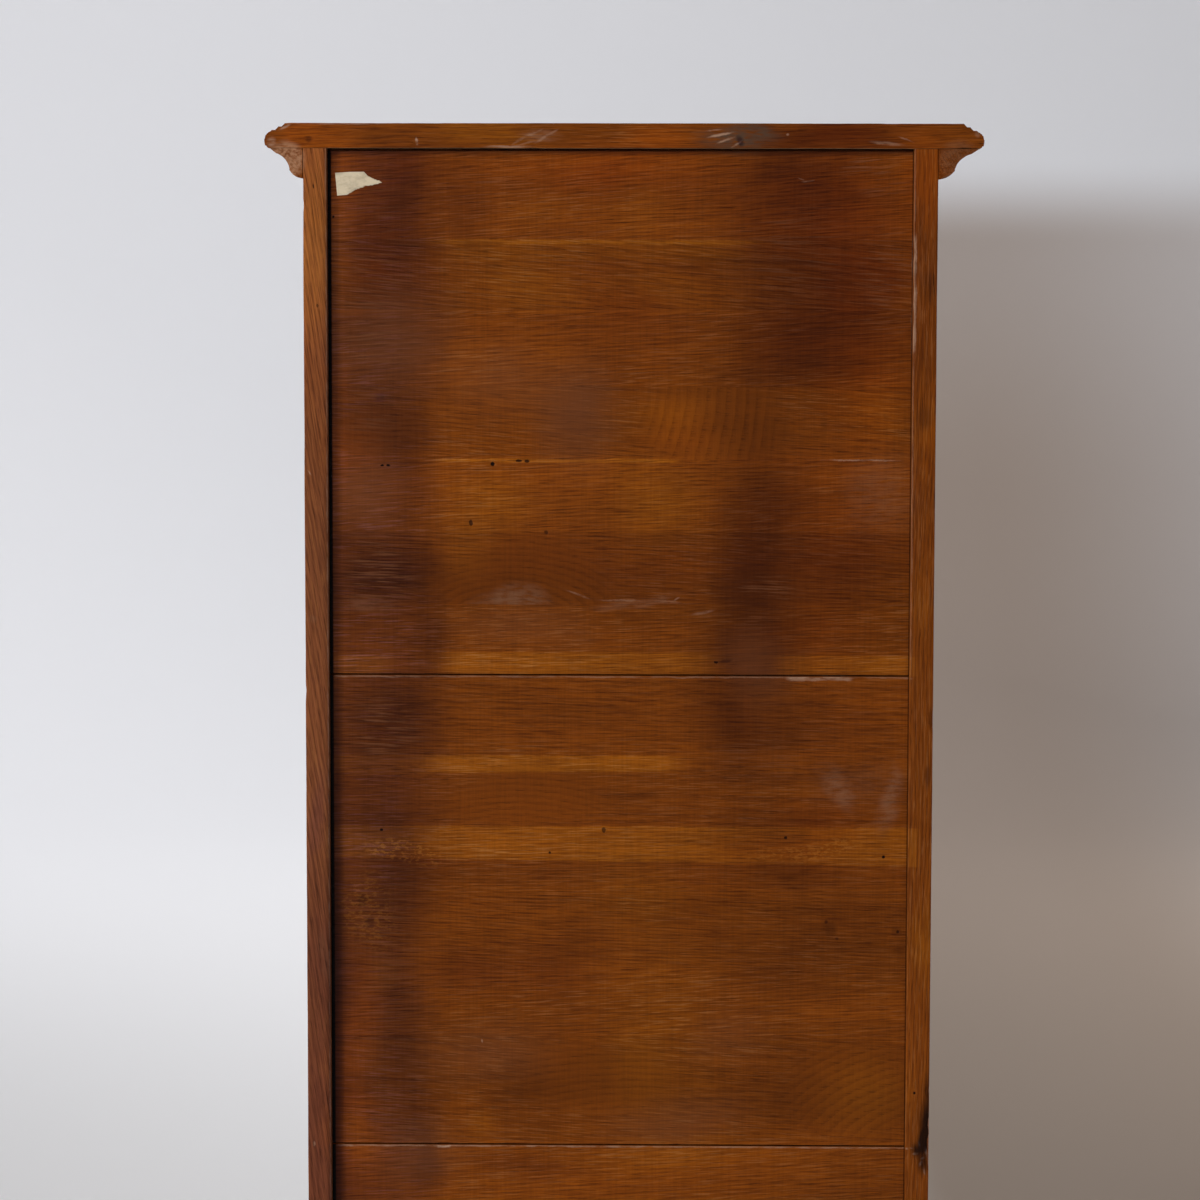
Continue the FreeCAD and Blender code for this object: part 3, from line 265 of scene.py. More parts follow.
    def total(self, masks):
        """Several masks added up, never more than 1."""
        added = masks[0]
        for mask in masks[1:]:
            added = self.plus(added, mask, clamp=True)
        return added

    def finish(self, colour, roughness, height, depth, specular=0.3, metallic=0.0):
        """Feeds the shader. Depth is how far a height of 1 stands up, in metres."""
        bump = self.node("Bump", {"Height": height, "Distance": depth, "Strength": 1.0})
        self.feed(self.shader.inputs["Base Color"], colour)
        self.feed(self.shader.inputs["Roughness"], roughness)
        self.feed(self.shader.inputs["Normal"], bump)
        self.shader.inputs["Specular IOR Level"].default_value = specular
        self.shader.inputs["Metallic"].default_value = metallic
        return self.material


# A finish of oak: its late wood, its early wood, what lies in its pores, how rough it is, and how
# much it shines.
Finish = namedtuple("Finish", "late early pore rough shine")
SHELLAC = Finish((0.228, 0.0540, 0.0024, 1), (0.142, 0.0310, 0.0018, 1),
                 (0.050, 0.013, 0.002, 1), 0.46, 0.24)
BACK = SHELLAC._replace(rough=0.56, shine=0.07)
FADED = BACK._replace(late=(0.262, 0.082, 0.028, 1), early=(0.160, 0.046, 0.015, 1))
RAW = Finish((0.420, 0.262, 0.142, 1), (0.300, 0.172, 0.086, 1), (0.120, 0.060, 0.030, 1), 0.72, 0.12)

RING = 0.0036                     # one year's growth
LEAN = 0.13                       # the steepest grain of a stave, twice over
PORE_LONG, PORE_THIN = 55, 1400   # pores to the metre, along the grain and across it

# How the grain's own axes (along, across, into) are read from X, Y and Z.
GRAIN = {"X": "xzy", "Y": "yzx", "Z": "zxy"}

RUBBED = (0.330, 0.125, 0.030, 1)       # arrises where the finish has gone
SAWN_TONE = (0.62, 0.60, 0.62, 1)       # how much of the wood's colour its end grain keeps
SAWN_ROUGHER = 0.2
PIECE_TONES = (0.86, 1.10)              # the darkest and the lightest piece
PITH_DRAW, TONE_DRAW = 0.618, 0.377     # turn a piece's number into a place and a tone of its own
PORES_FILLED = 0.55                     # how much of their dark colour the pores show
FIBRE_UP, PORE_DOWN, RING_DOWN = 0.5, 0.6, 0.22     # relief of each, in parts of the depth
FLECK_BRIGHTER = 1.6
HANDLED = (0.60, 0.55, 0.60, 1)         # what hands leave of a knob's colour


class Oak(Paint):
    """Oak with its rings, pores and fibres worked out through the whole thickness of the wood."""

    fine = (11, 260, 260)             # fibres to the metre, along the grain and across it
    fibrous = (0.62, -0.10)           # how much early wood's colour lies between fibres and on them
    lean = 0.0                        # how far the grain climbs over a metre
    cloud_detail = (3, 0.55)          # octaves and roughness of the slow changes of tone
    cloudy = (0.84, 1.14)             # the darkest and the lightest of them

    def __init__(self, name, axis, seed, finish=SHELLAC, pith=(0.05, 0.09), staves=None):
        super().__init__(name)
        self.axis, self.seed, self.look = axis, seed, finish
        self.piece = self.node("ObjectInfo", {}, "Object Index")
        self.grain = self.along_axis(self.place)
        self.rings(pith, staves)
        self.fibres()

    def along_axis(self, place):
        """A place in the grain's own axes."""
        parts = dict(zip("xyz", self.split(place)))
        return self.combine(*(parts[letter] for letter in GRAIN[self.axis]))

    def chance(self, factor):
        """A value from 0 to 1 that differs from piece to piece."""
        return self.math("FRACT", self.times(self.piece, factor))

    def years(self, radius, spacing):
        """1 in the porous early wood of each year, fading to 0 in its late wood."""
        year = self.math("FRACT", self.math("DIVIDE", radius, spacing))
        return self.times(self.step(year, 0.0, 0.15), self.step(year, 0.80, 0.15))

    def rings(self, pith, staves):
        """Years counted outwards from a pith that wanders behind the face."""
        if staves:
            self.stave, heart = staves(self)
            slope = self.times(self.less(self.stave, 0.5), LEAN)
            start = self.grain = self.leaning(slope)
        else:
            # On a CAD node the object's colour holds the middle of its piece, so each has a pith of
            # its own. A worn piece keeps white, which puts its pith far off and its rings straight.
            middle = self.along_axis(self.node("ObjectInfo", {}, "Color"))
            if self.lean:
                self.grain = self.leaning(self.lean)
            start = self.vector("SUBTRACT", self.grain, middle)
            aside = self.line(self.chance(PITH_DRAW), 0, 1, -pith[0], pith[0])
            heart = self.combine(0.0, aside, pith[1])
        wandered = self.warp(start, (0.9, 2.2, 2.2), (0, 0.045, 0.035), self.seed)
        shaken = self.warp(wandered, (11, 70, 70), (0, 0.0022, 0.0022), self.seed + 3)
        flat = self.vector("MULTIPLY", self.vector("SUBTRACT", shaken, heart), (0, 1, 1))
        radius = self.node("VectorMath", {0: flat}, "Value", operation="LENGTH")
        self.early = self.years(radius, RING)

    def leaning(self, slope):
        """The grain's axes, with the grain running a little uphill or downhill and bending."""
        along, across, into = self.split(self.grain)
        tilted = self.combine(along, self.plus(across, self.times(along, slope)), into)
        return self.warp(tilted, (2.4, 9, 9), (0, 0.012, 0.012), self.seed + 5)

    def fibres(self):
        """Fibres, pores that open in short dashes, and slow changes of tone."""
        self.fibre = self.noise(self.grain, self.fine, 3, 0.65, self.seed)
        dash = self.noise(self.grain, (PORE_LONG, PORE_THIN, PORE_THIN), 2, 0.6, self.seed)
        self.open_pore = self.step(dash, 0.55, 0.70)
        self.cloud = self.noise(self.grain, (1.6, 9, 9), *self.cloud_detail, self.seed + 7)

    def pores(self):
        """1 in open pores, which lie mostly in early wood."""
        rows = self.node("Math", {0: self.early, 1: 0.75, 2: 0.25}, operation="MULTIPLY_ADD")
        return self.times(self.open_pore, rows)

    def wood(self, finish, bold=0.30):
        """The wood's colour in one finish. Bold is how much darker the early wood is."""
        part = self.plus(self.times(self.early, bold),
                         self.step(self.fibre, 0.34, 0.66, *self.fibrous))
        colour = self.blend("MIX", part, finish.late, finish.early)
        cloudy = self.line(self.cloud, 0.3, 0.7, *self.cloudy)
        own = self.line(self.chance(TONE_DRAW), 0, 1, *PIECE_TONES)
        cloudy = self.times(cloudy, own)
        colour = self.blend("MULTIPLY", 1.0, colour, self.combine(cloudy, cloudy, cloudy))
        return self.blend("MIX", self.times(self.pores(), PORES_FILLED), colour, finish.pore)

    def facing(self, direction, low, high):
        """1 on faces that look along a direction, 0 on the others."""
        aligned = self.node("VectorMath", {0: self.normal, 1: direction}, "Value",
                            operation="DOT_PRODUCT")
        return self.step(aligned, low, high)

    def arris(self):
        """1 on worn arrises, which look along none of the axes, 0 on flat faces."""
        x, y, z = self.split(self.vector("ABSOLUTE", self.normal, (0, 0, 0)))
        most = self.math("MAXIMUM", self.math("MAXIMUM", x, y), z)
        rubbed = self.noise(self.place, (35, 35, 35), 3, 0.6, self.seed + 11)
        return self.times(self.step(most, 0.97, 0.86), self.step(rubbed, 0.42, 0.62))

    def along(self, raw_face=None, bold=0.30, worn=0.5):
        """Colour and roughness, with darker end grain, arrises that are rubbed pale, and raw wood on
        a face that is never seen when the press is shut."""
        colour, rough = self.wood(self.look, bold), self.look.rough
        if raw_face:
            inside = self.facing(raw_face, 0.6, 0.9)
            colour = self.blend("MIX", inside, colour, self.wood(RAW))
            rough = self.plus(rough, self.times(inside, RAW.rough - self.look.rough))
        direction = {"X": (1, 0, 0), "Y": (0, 1, 0), "Z": (0, 0, 1)}[self.axis]
        sawn = self.plus(self.facing(direction, 0.75, 0.95),
                         self.facing([-c for c in direction], 0.75, 0.95))
        colour = self.blend("MULTIPLY", sawn, colour, SAWN_TONE)
        if worn:
            pale = self.times(self.arris(), worn)
            colour = self.blend("MIX", pale, colour, RUBBED)
        return colour, self.plus(self.times(sawn, SAWN_ROUGHER), rough)

    def done(self, colour, rough, dents=0.0, depth=0.0005):
        """Closes the material with pores that are open and fibres that stand up."""
        height = self.less(self.times(self.fibre, FIBRE_UP),
                           self.times(self.pores(), PORE_DOWN))
        height = self.less(height, self.times(self.early, RING_DOWN))
        height = self.less(height, dents)
        satin = self.plus(rough, self.times(self.open_pore, 0.15))
        varied = self.plus(satin, self.step(self.cloud, 0.3, 0.7, -0.06, 0.08))
        return self.finish(colour, varied, height, depth, specular=self.look.shine)


def plain_oak(axis, seed, finish=SHELLAC, pith=(0.05, 0.09), bold=0.42, worn=0.5):
    """Oak as it is on most of the press."""
    paint = Oak(f"oak_{axis.lower()}_{seed}", axis, seed, finish, pith)
    colour, rough = paint.along(bold=bold, worn=worn if finish is SHELLAC else 0)
    fleck = paint.noise(paint.grain, (45, 420, 420), 2, 0.5, seed + 17)
    where = paint.noise(paint.grain, (4, 22, 22), 2, 0.5, seed + 19)
    flecked = paint.times(paint.step(fleck, 0.60, 0.68, 0.0, 0.22),
                          paint.step(where, 0.5, 0.6))
    colour = paint.blend("MIX", flecked, colour, [c * FLECK_BRIGHTER for c in finish.late[:3]] + [1])
    return paint.done(colour, rough)


def turned_oak():
    """Oak of the knobs, with the fine rings that the lathe left."""
    paint = Oak("oak_turned", "Y", 6, SHELLAC, (0.004, 0.02))
    colour, rough = paint.along(worn=0)
    lathe = paint.noise(paint.place, (0, 900, 0), 2, 0.6, 23)
    handled = paint.noise(paint.place, (50, 50, 50), 3, 0.6, 29)
    colour = paint.blend("MULTIPLY", paint.step(handled, 0.40, 0.65, 0.0, 0.7), colour, HANDLED)
    smoother = paint.less(rough, paint.step(handled, 0.4, 0.7, 0.0, 0.14))
    return paint.done(colour, smoother, paint.times(lathe, 0.5))


def drawer_oak():
    """Raw oak of the drawer boxes, battens and runners, with its grain from front to back."""
    paint = Oak("oak_drawer_box", "Y", 8, RAW, (0.02, 0.15))
    colour, rough = paint.along(worn=0)
    return paint.done(colour, rough)


def metal(name, bright, dull, rough, seed):
    """Old metal: bright in some places, dull in others, and finely scratched."""
    paint = Paint(name)
    cloud = paint.noise(paint.place, (60, 60, 60), 4, 0.6, seed)
    speck = paint.noise(paint.place, (900, 900, 900), 2, 0.5, seed)
    scratch = paint.noise(paint.place, (200, 200, 3000), 1, 0.5, seed + 1)
    part = paint.plus(paint.step(cloud, 0.42, 0.66), paint.step(speck, 0.60, 0.75, 0.0, 0.5),
                      clamp=True)
    colour = paint.blend("MIX", part, bright, dull)
    roughness = paint.plus(paint.step(cloud, 0.35, 0.7, rough, rough + 0.25),
                           paint.times(scratch, 0.08))
    height = paint.plus(paint.times(speck, 0.6), paint.times(scratch, 0.4))
    return paint.finish(colour, roughness, height, 0.00008, specular=0.5, metallic=1.0)


WALL_TONE = (0.895, 0.892, 0.91, 1)
# The colours of the painted shadow on the wall and on the floor.
PAINTED_SHADE_TONE, PAINTED_SHADE_FLOOR = (0.40, 0.320, 0.268, 1), (0.245, 0.195, 0.160, 1)

# Where the painted shadow on the wall and floor starts and is full, in metres.
SHADE_TOP, SHADE_LOW = (1.92, 1.60), (1.6, 0.7)         # going down, and going on down
SHADE_SIDE, SHADE_BEYOND = (-0.2, -0.55), (-1.1, -2.5)  # going to -X, and fading again
SHADE_DEPTH, WALL_DEPTH = (-0.9, -1.9), (-3.2, -8.5)    # going to -Y: the shade, then the wall's tone
TOP_SHARE, FAR_SHARE = 0.86, 0.58                       # of the shade by SHADE_TOP, and far off


def stage_paint():
    """Pale matt paint, with a painted shadow on the wall and floor beyond the press's side at -X, as in the
    photograph.
    """
    paint = Paint("stage_with_painted_shade")
    grit = paint.noise(paint.place, (40, 40, 40), 3)
    tall = paint.plus(paint.step(paint.z, *SHADE_TOP, 0.0, TOP_SHARE),
                      paint.step(paint.z, *SHADE_LOW, 0.0, 1 - TOP_SHARE))
    wide = paint.times(paint.step(paint.x, *SHADE_SIDE),
                       paint.step(paint.x, *SHADE_BEYOND, 1.0, FAR_SHARE))
    shade = paint.times(paint.times(tall, wide), paint.step(paint.y, *SHADE_DEPTH))
    dark = paint.blend("MIX", paint.step(paint.y, *WALL_DEPTH), PAINTED_SHADE_FLOOR, PAINTED_SHADE_TONE)
    tone = paint.blend("MIX", shade, WALL_TONE, dark)
    return paint.finish(tone, 0.9, grit, 0.0001, specular=0.1)


# ------------------------------------------------------------------ the rear of the press

# Everything in these tables is in millimetres and degrees on the rear of the press, seen from
# behind with +X at the left. Strength is how much of the kind's effect shows.

# Glue joints between the staves of the back boards, from the top down.
STAVE_JOINTS = (1650, 1570, 1490, 1409, 1328, 1247, 1168.5, 1078, 998, 916, 834, 753, 635,
                553, 472, 390, 309, 229, 160)
BACK_TOP = 1752
FLAT_SAWN = (1490, 1078, 753)     # staves, by their upper joint, that show broad figure

# A kind of mark: how it blends, its colour, how much of a patch is soft edge, whether the edge
# wanders a long way, how deep it is, whether it is broken up, and whether its edge is straight.
Kind = namedtuple("Kind", "how colour edge loose dip patchy straight", defaults=(False, False))
KINDS = {
    "red": Kind("MULTIPLY", (0.66, 0.66, 2.1, 1), 1.0, True, 0.0),
    "shade": Kind("MULTIPLY", (0.70, 0.64, 0.85, 1), 1.0, True, 0.0),
    "glow": Kind("MULTIPLY", (1.30, 1.48, 1.2, 1), 1.0, True, 0.0),
    "amber": Kind("MULTIPLY", (1.36, 1.24, 0.85, 1), 1.0, True, 0.0),
    "sap": Kind("MULTIPLY", (1.55, 1.85, 1.7, 1), 0.6, False, 0.0),
    "smoke": Kind("MULTIPLY", (0.46, 0.41, 0.58, 1), 0.95, True, 0.0),
    "ember": Kind("MULTIPLY", (0.80, 0.62, 0.50, 1), 1.0, True, 0.0),
    "film": Kind("MIX", (0.150, 0.049, 0.017, 1), 1.0, True, 0.0),
    "grey": Kind("MIX", (0.205, 0.088, 0.044, 1), 0.8, True, 0.0, True),
    "purple": Kind("MIX", (0.080, 0.042, 0.024, 1), 0.9, True, 0.0, True),
    "scraped": Kind("MIX", (0.165, 0.073, 0.036, 1), 0.40, False, 0.05, True),
    # Pale wear; some bands of it are also a painted highlight along an arris.
    "worn": Kind("MIX", (0.360, 0.215, 0.140, 1), 0.7, False, 0.15, True),
    "knot": Kind("MULTIPLY", (0.36, 0.33, 0.50, 1), 0.7, False, 0.1),
    "burn": Kind("MULTIPLY", (0.10, 0.10, 0.16, 1), 0.9, False, 0.3),
    "hole": Kind("MULTIPLY", (0.04, 0.04, 0.05, 1), 0.35, False, 1.5),
    "sawn": Kind("MIX", (0.340, 0.168, 0.088, 1), 0.4, False, 0.0, True),
    # A painted shadow: the shade that the stile at +X and the top board cast on the recessed back boards.
    "dusk": Kind("MULTIPLY", (0.24, 0.20, 0.26, 1), 1.0, False, 0.0, False, True),
    # Near-black painted shade in the narrow gaps beside the stiles; the same kind also darkens the joints
    # between the boards.
    "gap": Kind("MULTIPLY", (0.03, 0.03, 0.04, 1), 1.0, False, 0.0, False, True),
}

# A mark may end at a joint: it doesn't show below its foot.
Mark = namedtuple("Mark", "x z half_x half_z strength turn foot", defaults=(0, 0))
# The rows at x 341 lie on the rear stile at +X: the amber and glow rows make its top lighter, and the shade
# rows make it darker towards the bottom.
MARKS = {kind: [Mark(*row) for row in rows] for kind, rows in {
    "amber": (
        (20, 1738, 210, 40, 0.9), (262, 1602, 76, 66, 1.0), (300, 1420, 50, 50, 0.8),
        (-262, 1470, 64, 96, 0.9), (-45, 1766, 70, 26, 1.0), (350, 1766, 30, 26, 0.9),
        (-58, 1448, 60, 62, 0.7), (341, 1620, 60, 330, 0.8), (341, 1730, 60, 80, 0.9),
        (-334, 1725, 34, 80, 0.9), (-334, 1430, 34, 80, 0.7), (300, 730, 44, 180, 1.0),
        (302, 640, 44, 90, 0.7)),
    "ember": (
        (-250, 1766, 110, 26, 0.9), (-262, 1600, 70, 56, 0.8), (-170, 978, 110, 34, 0.6),
        (275, 1680, 80, 110, 0.6), (-235, 1680, 150, 130, 0.9), (-235, 1540, 150, 110, 0.8),
        (-230, 1330, 150, 150, 0.6), (-215, 1210, 120, 70, 0.5), (20, 1725, 90, 40, 0.4),
        (-10, 1590, 60, 30, 0.5), (240, 1725, 80, 40, 0.5), (230, 970, 70, 24, 0.6),
        (-215, 1010, 90, 50, 0.5)),
    "film": (
        (48, 1455, 70, 90, 0.55), (140, 1490, 90, 60, 0.35), (250, 1540, 90, 90, 0.40),
        (285, 1375, 60, 60, 0.45), (120, 1225, 110, 40, 0.30), (-140, 1180, 60, 60, 0.35),
        (150, 740, 110, 50, 0.35), (-120, 760, 70, 50, 0.25), (-60, 665, 120, 50, 0.40),
        (230, 620, 80, 60, 0.40)),
    "smoke": (
        (236, 745, 44, 34, 0.30), (238, 640, 44, 60, 0.45), (-160, 1550, 150, 60, 0.22, -6, 1490),
        (-165, 1735, 80, 34, 0.55), (-146, 1190, 64, 44, 0.60), (-192, 1128, 64, 56, 0.35),
        (245, 1640, 60, 90, 0.45), (245, 1470, 60, 90, 0.35), (-215, 1715, 90, 60, 0.45),
        (176, 1665, 50, 50, 0.42), (-170, 1506, 140, 36, 0.22, 0, 1490), (300, 1287, 40, 36, 0.45),
        (-175, 1766, 60, 20, 0.50), (-255, 1766, 110, 26, 0.50), (236, 1690, 50, 70, 0.55),
        (232, 1560, 60, 120, 0.62), (280, 1560, 60, 200, 0.40), (236, 1400, 50, 90, 0.55),
        (250, 1290, 76, 60, 0.80), (222, 1210, 46, 70, 0.70), (250, 1120, 76, 80, 0.80),
        (250, 1010, 80, 60, 0.65), (236, 930, 66, 90, 0.80, -6), (244, 800, 46, 100, 0.60, 6),
        (226, 690, 46, 80, 0.55), (226, 600, 38, 60, 0.75), (-166, 1650, 120, 110, 0.62),
        (-205, 1530, 140, 120, 0.66, 20, 1490), (-148, 1450, 60, 70, 0.36), (-150, 1340, 84, 130, 0.95),
        (-146, 1230, 86, 100, 0.85), (-128, 1115, 84, 90, 0.75), (-100, 1160, 60, 120, 0.45),
        (-150, 1005, 90, 50, 0.45), (48, 1447, 50, 70, 0.50), (20, 1500, 60, 50, 0.35),
        (60, 860, 60, 40, 0.30), (115, 690, 60, 60, 0.40), (-183, 945, 80, 34, 0.60),
        (-185, 830, 80, 60, 0.36), (-190, 700, 70, 70, 0.30)),
    "shade": (
        (176, 838, 60, 46, 0.7), (176, 1682, 56, 56, 0.6), (110, 612, 110, 24, 0.8),
        (341, 860, 60, 130, 0.8), (341, 660, 60, 260, 1.0), (341, 300, 60, 400, 0.9),
        (0, 1715, 420, 60, 0.90), (-240, 1640, 140, 130, 0.95), (20, 1640, 240, 50, 0.55),
        (-10, 1560, 150, 110, 0.50), (0, 1290, 330, 46, 0.50), (-250, 1290, 110, 60, 0.65),
        (-230, 1110, 130, 80, 0.60), (30, 1120, 150, 50, 0.25), (120, 836, 120, 44, 0.60),
        (-250, 880, 110, 70, 0.35), (80, 820, 90, 60, 0.35)),
    "glow": (
        (150, 1766, 96, 30, 1.0), (-46, 722, 100, 110, 0.5), (-334, 1440, 34, 60, 0.5),
        (-334, 862, 34, 80, 0.8), (112, 1606, 84, 46, 0.60), (-35, 1605, 76, 40, 0.45),
        (-20, 1694, 70, 46, 0.50), (90, 1690, 70, 30, 0.30), (145, 1360, 76, 52, 0.80),
        (-34, 1362, 76, 60, 0.85), (-46, 1454, 52, 44, 0.50), (-40, 820, 110, 90, 0.35),
        (-272, 700, 76, 66, 0.70), (-60, 625, 130, 36, 0.60), (270, 833, 30, 30, 0.50),
        (157, 658, 34, 26, 0.50), (176, 1310, 46, 50, 0.55), (-10, 920, 90, 60, 0.50),
        (-10, 745, 60, 60, 0.35), (-72, 1467, 50, 30, 0.45), (300, 640, 30, 60, 0.60),
        (160, 1766, 60, 22, 0.45), (-268, 1460, 60, 50, 0.40), (300, 1590, 40, 60, 0.35),
        (341, 1650, 60, 150, 1.0), (-334, 1250, 16, 70, 0.35)),
    "red": ((263, 1474, 14, 10, 0.8), (344, 1006, 20, 90, 0.3)),
    "grey": (
        (-281, 1368, 60, 66, 0.24), (-229, 1050, 20, 44, 0.48, 28), (-288, 1034, 17, 46, 0.66, -8),
        (-250, 1052, 70, 34, 0.16, 8), (-8, 1257, 72, 8, 0.40, 3), (290, 1250, 40, 12, 0.30),
        (337, 845, 10, 44, 0.30), (350, 1230, 8, 8, 0.40)),
    "purple": ((-138, 1766, 66, 22, 1.0), (-150, 1770, 40, 14, 0.5)),
    "scraped": ((115, 1248, 42, 29, 0.46, 0, 1247.5), (128, 1247, 52, 19, 0.30, 0, 1247.5)),
    "knot": (
        (-233, 883, 10, 15, 0.42, 10), (-307, 880, 8, 10, 0.40), (-229, 891, 3, 3, 0.8),
        (-241, 872, 3, 2.4, 0.8), (292, 913, 8, 11, 0.5), (284, 889, 8, 11, 0.45),
        (-341, 1057, 5, 20, 0.7), (-343, 1121, 4, 18, 0.5), (-335, 1603, 12, 26, 0.4),
        (-334, 1457, 13, 20, 0.5), (-128, 1760, 5, 9, 0.9, 25), (347, 1762, 5, 5, 0.6),
        (-115, 1185, 10, 3, 0.7, 10)),
    "burn": (
        (-341, 655, 12, 42, 0.90, 4), (-338, 638, 11, 24, 0.90, -14), (-345, 692, 9, 48, 0.75),
        (-340, 616, 10, 16, 0.80), (-330, 632, 7, 12, 0.50, 20)),
    "sawn": ((372, 1738, 24, 26, 1.0), (-368, 1740, 26, 26, 0.20)),
    "worn": (
        (114, 1762, 15, 2.0, 0.28, 30), (100, 1768, 17, 1.9, 0.30, 26), (90, 1763, 13, 2.2, 0.26, 33),
        (78, 1770, 12, 1.7, 0.28, 28), (106, 1758, 18, 1.4, 0.28, 12), (92, 1766, 30, 9, 0.20),
        (228, 1759.6, 2.0, 6, 0.95, 8), (126, 1754, 34, 2, 0.6), (-106, 1767, 20, 2.2, 0.9, 11),
        (-112, 1761, 14, 1.8, 0.7, 20), (-124, 1757, 9, 1.6, 0.7, 34), (-98, 1772, 12, 1.2, 0.5, 6),
        (388, 1759, 7, 7, 0.65, 30), (373, 1775.5, 9, 2.0, 0.6, 26), (310, 1779, 64, 1.6, 0.45),
        (-388, 1768, 4, 5, 0.25), (-289, 1758, 24, 2.6, 0.40, -6), (-310, 1762, 12, 1.4, 0.35, -20),
        (-180, 1768, 2, 2, 0.6), (348, 1394, 1.0, 5, 0.7, 35), (347, 636, 2.0, 4.6, 0.5),
        (-343, 630, 2.4, 9, 0.6, 14), (-345.5, 652, 1.4, 9, 0.5), (-337, 617, 2, 5, 0.6, -24),
        (-331, 628, 4.4, 2.0, 0.6, 10), (-327, 634, 3.4, 1.4, 0.5, -10), (-335, 639, 1.8, 4.6, 0.5, 20),
        (-341, 608, 1.8, 6, 0.5, 8), (-339, 623, 3.2, 1.8, 0.6, 30), (-203, 1717, 9, 1.1, 0.45, 8),
        (-196, 1719, 5, 0.9, 0.35, -20), (-358, 1721, 7, 4, 0.55, 30), (50, 1259, 19, 1.6, 0.30, -20),
        (4, 1252, 34, 1.5, 0.27, -1), (-50, 1251, 18, 2.4, 0.24, -5), (-60, 1254, 5, 1.4, 0.35, 30),
        (-89, 1239, 16, 2.4, 0.24, 10), (158, 753, 1.2, 3.0, 0.7)),
    "hole": (
        (268, 1402, 2.4, 1.4, 1), (261, 1402, 2.6, 1.5, 1), (145, 1404, 3.0, 2.6, 1),
        (116, 1407.6, 4.0, 1.8, 0.9), (107, 1407.4, 3.4, 1.7, 0.9), (169.4, 1338.4, 2.6, 4.0, 0.8),
        (85, 1328.5, 2.4, 2.2, 0.6), (269.4, 993.4, 2.0, 1.8, 1), (21, 993.6, 2.6, 3.6, 0.7),
        (81, 968.5, 1.6, 1.6, 0.9), (-183, 986, 2.2, 2.0, 0.9), (-292, 965, 2.0, 2.0, 1),
        (320.4, 1677, 1.6, 1.6, 1), (-104, 1183, 3.0, 1.6, 0.9), (342, 1709.8, 1.0, 2.6, 0.8),
        (338, 1579, 1.2, 2.4, 0.6), (-329, 697.5, 1.4, 1.6, 1), (-309, 880, 1.8, 2.4, 0.7)),
}.items()}

# Straight bands along the grain: kind, ends, top and bottom, how far the bottom rises towards
# -X, softness of top, bottom and ends, strength.
Band = namedtuple("Band", "kind x0 x1 top bottom rise soft_top soft_bottom soft_end strength")
BANDS = [Band(*row) for row in (
    ("sap", 320, 262, 1190, 1169, 0, 3, 1, 30, 0.65),
    ("sap", 200, -100, 1194, 1169, 0, 5, 1, 40, 0.75),
    ("sap", -170, -322, 1191, 1169, 0, 2, 1, 30, 0.70),
    ("sap", 215, -60, 1078, 1058, 0.010, 1, 3, 50, 0.80),
    ("sap", 330, 200, 1078, 1056, 0, 1, 8, 30, 0.25),
    ("sap", 330, -330, 998, 962, -0.012, 1, 2, 10, 0.62),
    ("sap", 205, -150, 1652.2, 1647.6, 0, 1.2, 2.4, 60, 1.0),
    ("glow", 190, -135, 1648, 1630, 0, 2, 14, 30, 0.55),
    ("sap", 204, -60, 1410, 1406, 0, 1, 2, 20, 0.80),
    ("worn", -224, -302, 1410, 1408.4, 0, 0.6, 0.6, 16, 0.50),
    # Pale lines under the joints between the boards: partly worn arrises and chips, partly a painted
    # highlight where the arris catches the light.
    ("worn", 322, -322, 1167.6, 1165.6, 0, 0.5, 1, 4, 0.32),
    ("worn", -184, -254, 1168, 1163.0, 0, 0.5, 2, 8, 0.55),
    ("worn", 322, -322, 634.4, 632.2, 0, 0.5, 1, 4, 0.55),
    ("worn", 208, 194, 634.4, 631.0, 0, 0.5, 1, 3, 0.9),
    ("shade", 322, -322, 1328, 1247, 0, 1.5, 1.5, 8, 0.36),
    ("shade", 322, -322, 1057, 998, 0, 3, 1.5, 8, 0.25),
    ("shade", 322, -322, 961, 938, -0.012, 2, 24, 8, 0.35),
    ("shade", 322, -322, 1570, 1540, 0, 1.5, 30, 8, 0.25),
    # Painted shade: a near-black line where the stile at +X shades the recessed boards.
    ("gap", 327.6, 323.0, 1752, 0, 0, 0.5, 1, 1.0, 1.0),
    # These three bands are painted shadow: the stile at +X and the top board shade the recessed back
    # boards.
    ("dusk", 330, 315, 1752, 0, 0, 0.5, 1, 10, 0.60),
    ("dusk", 330, 311, 1080, 0, 0, 260, 1, 12, 0.35),
    ("dusk", 327, -319, 1750, 1745, 0, 0.5, 7, 0.5, 0.75),
    # Painted shade in the narrow gap beside the stile at -X.
    ("gap", -317.9, -319.3, 1749, 0, 0, 0.5, 1, 0.6, 0.75),
    # Dark lines in the joints between the boards.
    ("gap", 321, -319, 1169.4, 1168.2, 0, 0.5, 0.5, 4, 0.9),
    ("gap", 321, -319, 635.8, 634.2, 0, 0.5, 0.5, 4, 0.9),
    # Pale lines on the inner arrises of the stiles: partly wear, partly a painted highlight where the arris
    # catches the light.
    ("worn", 329.0, 326.8, 1752, 0, 0, 0.5, 0.5, 0.8, 0.40),
    ("worn", -319.0, -321.0, 1752, 1180, 0, 0.5, 90, 0.7, 0.25),
    ("worn", -317.9, -323.0, 1655, 1615, 0, 16, 16, 1.4, 0.60),
    ("worn", -318.2, -323.0, 1605, 1530, 0, 24, 24, 1.4, 0.55),
)]

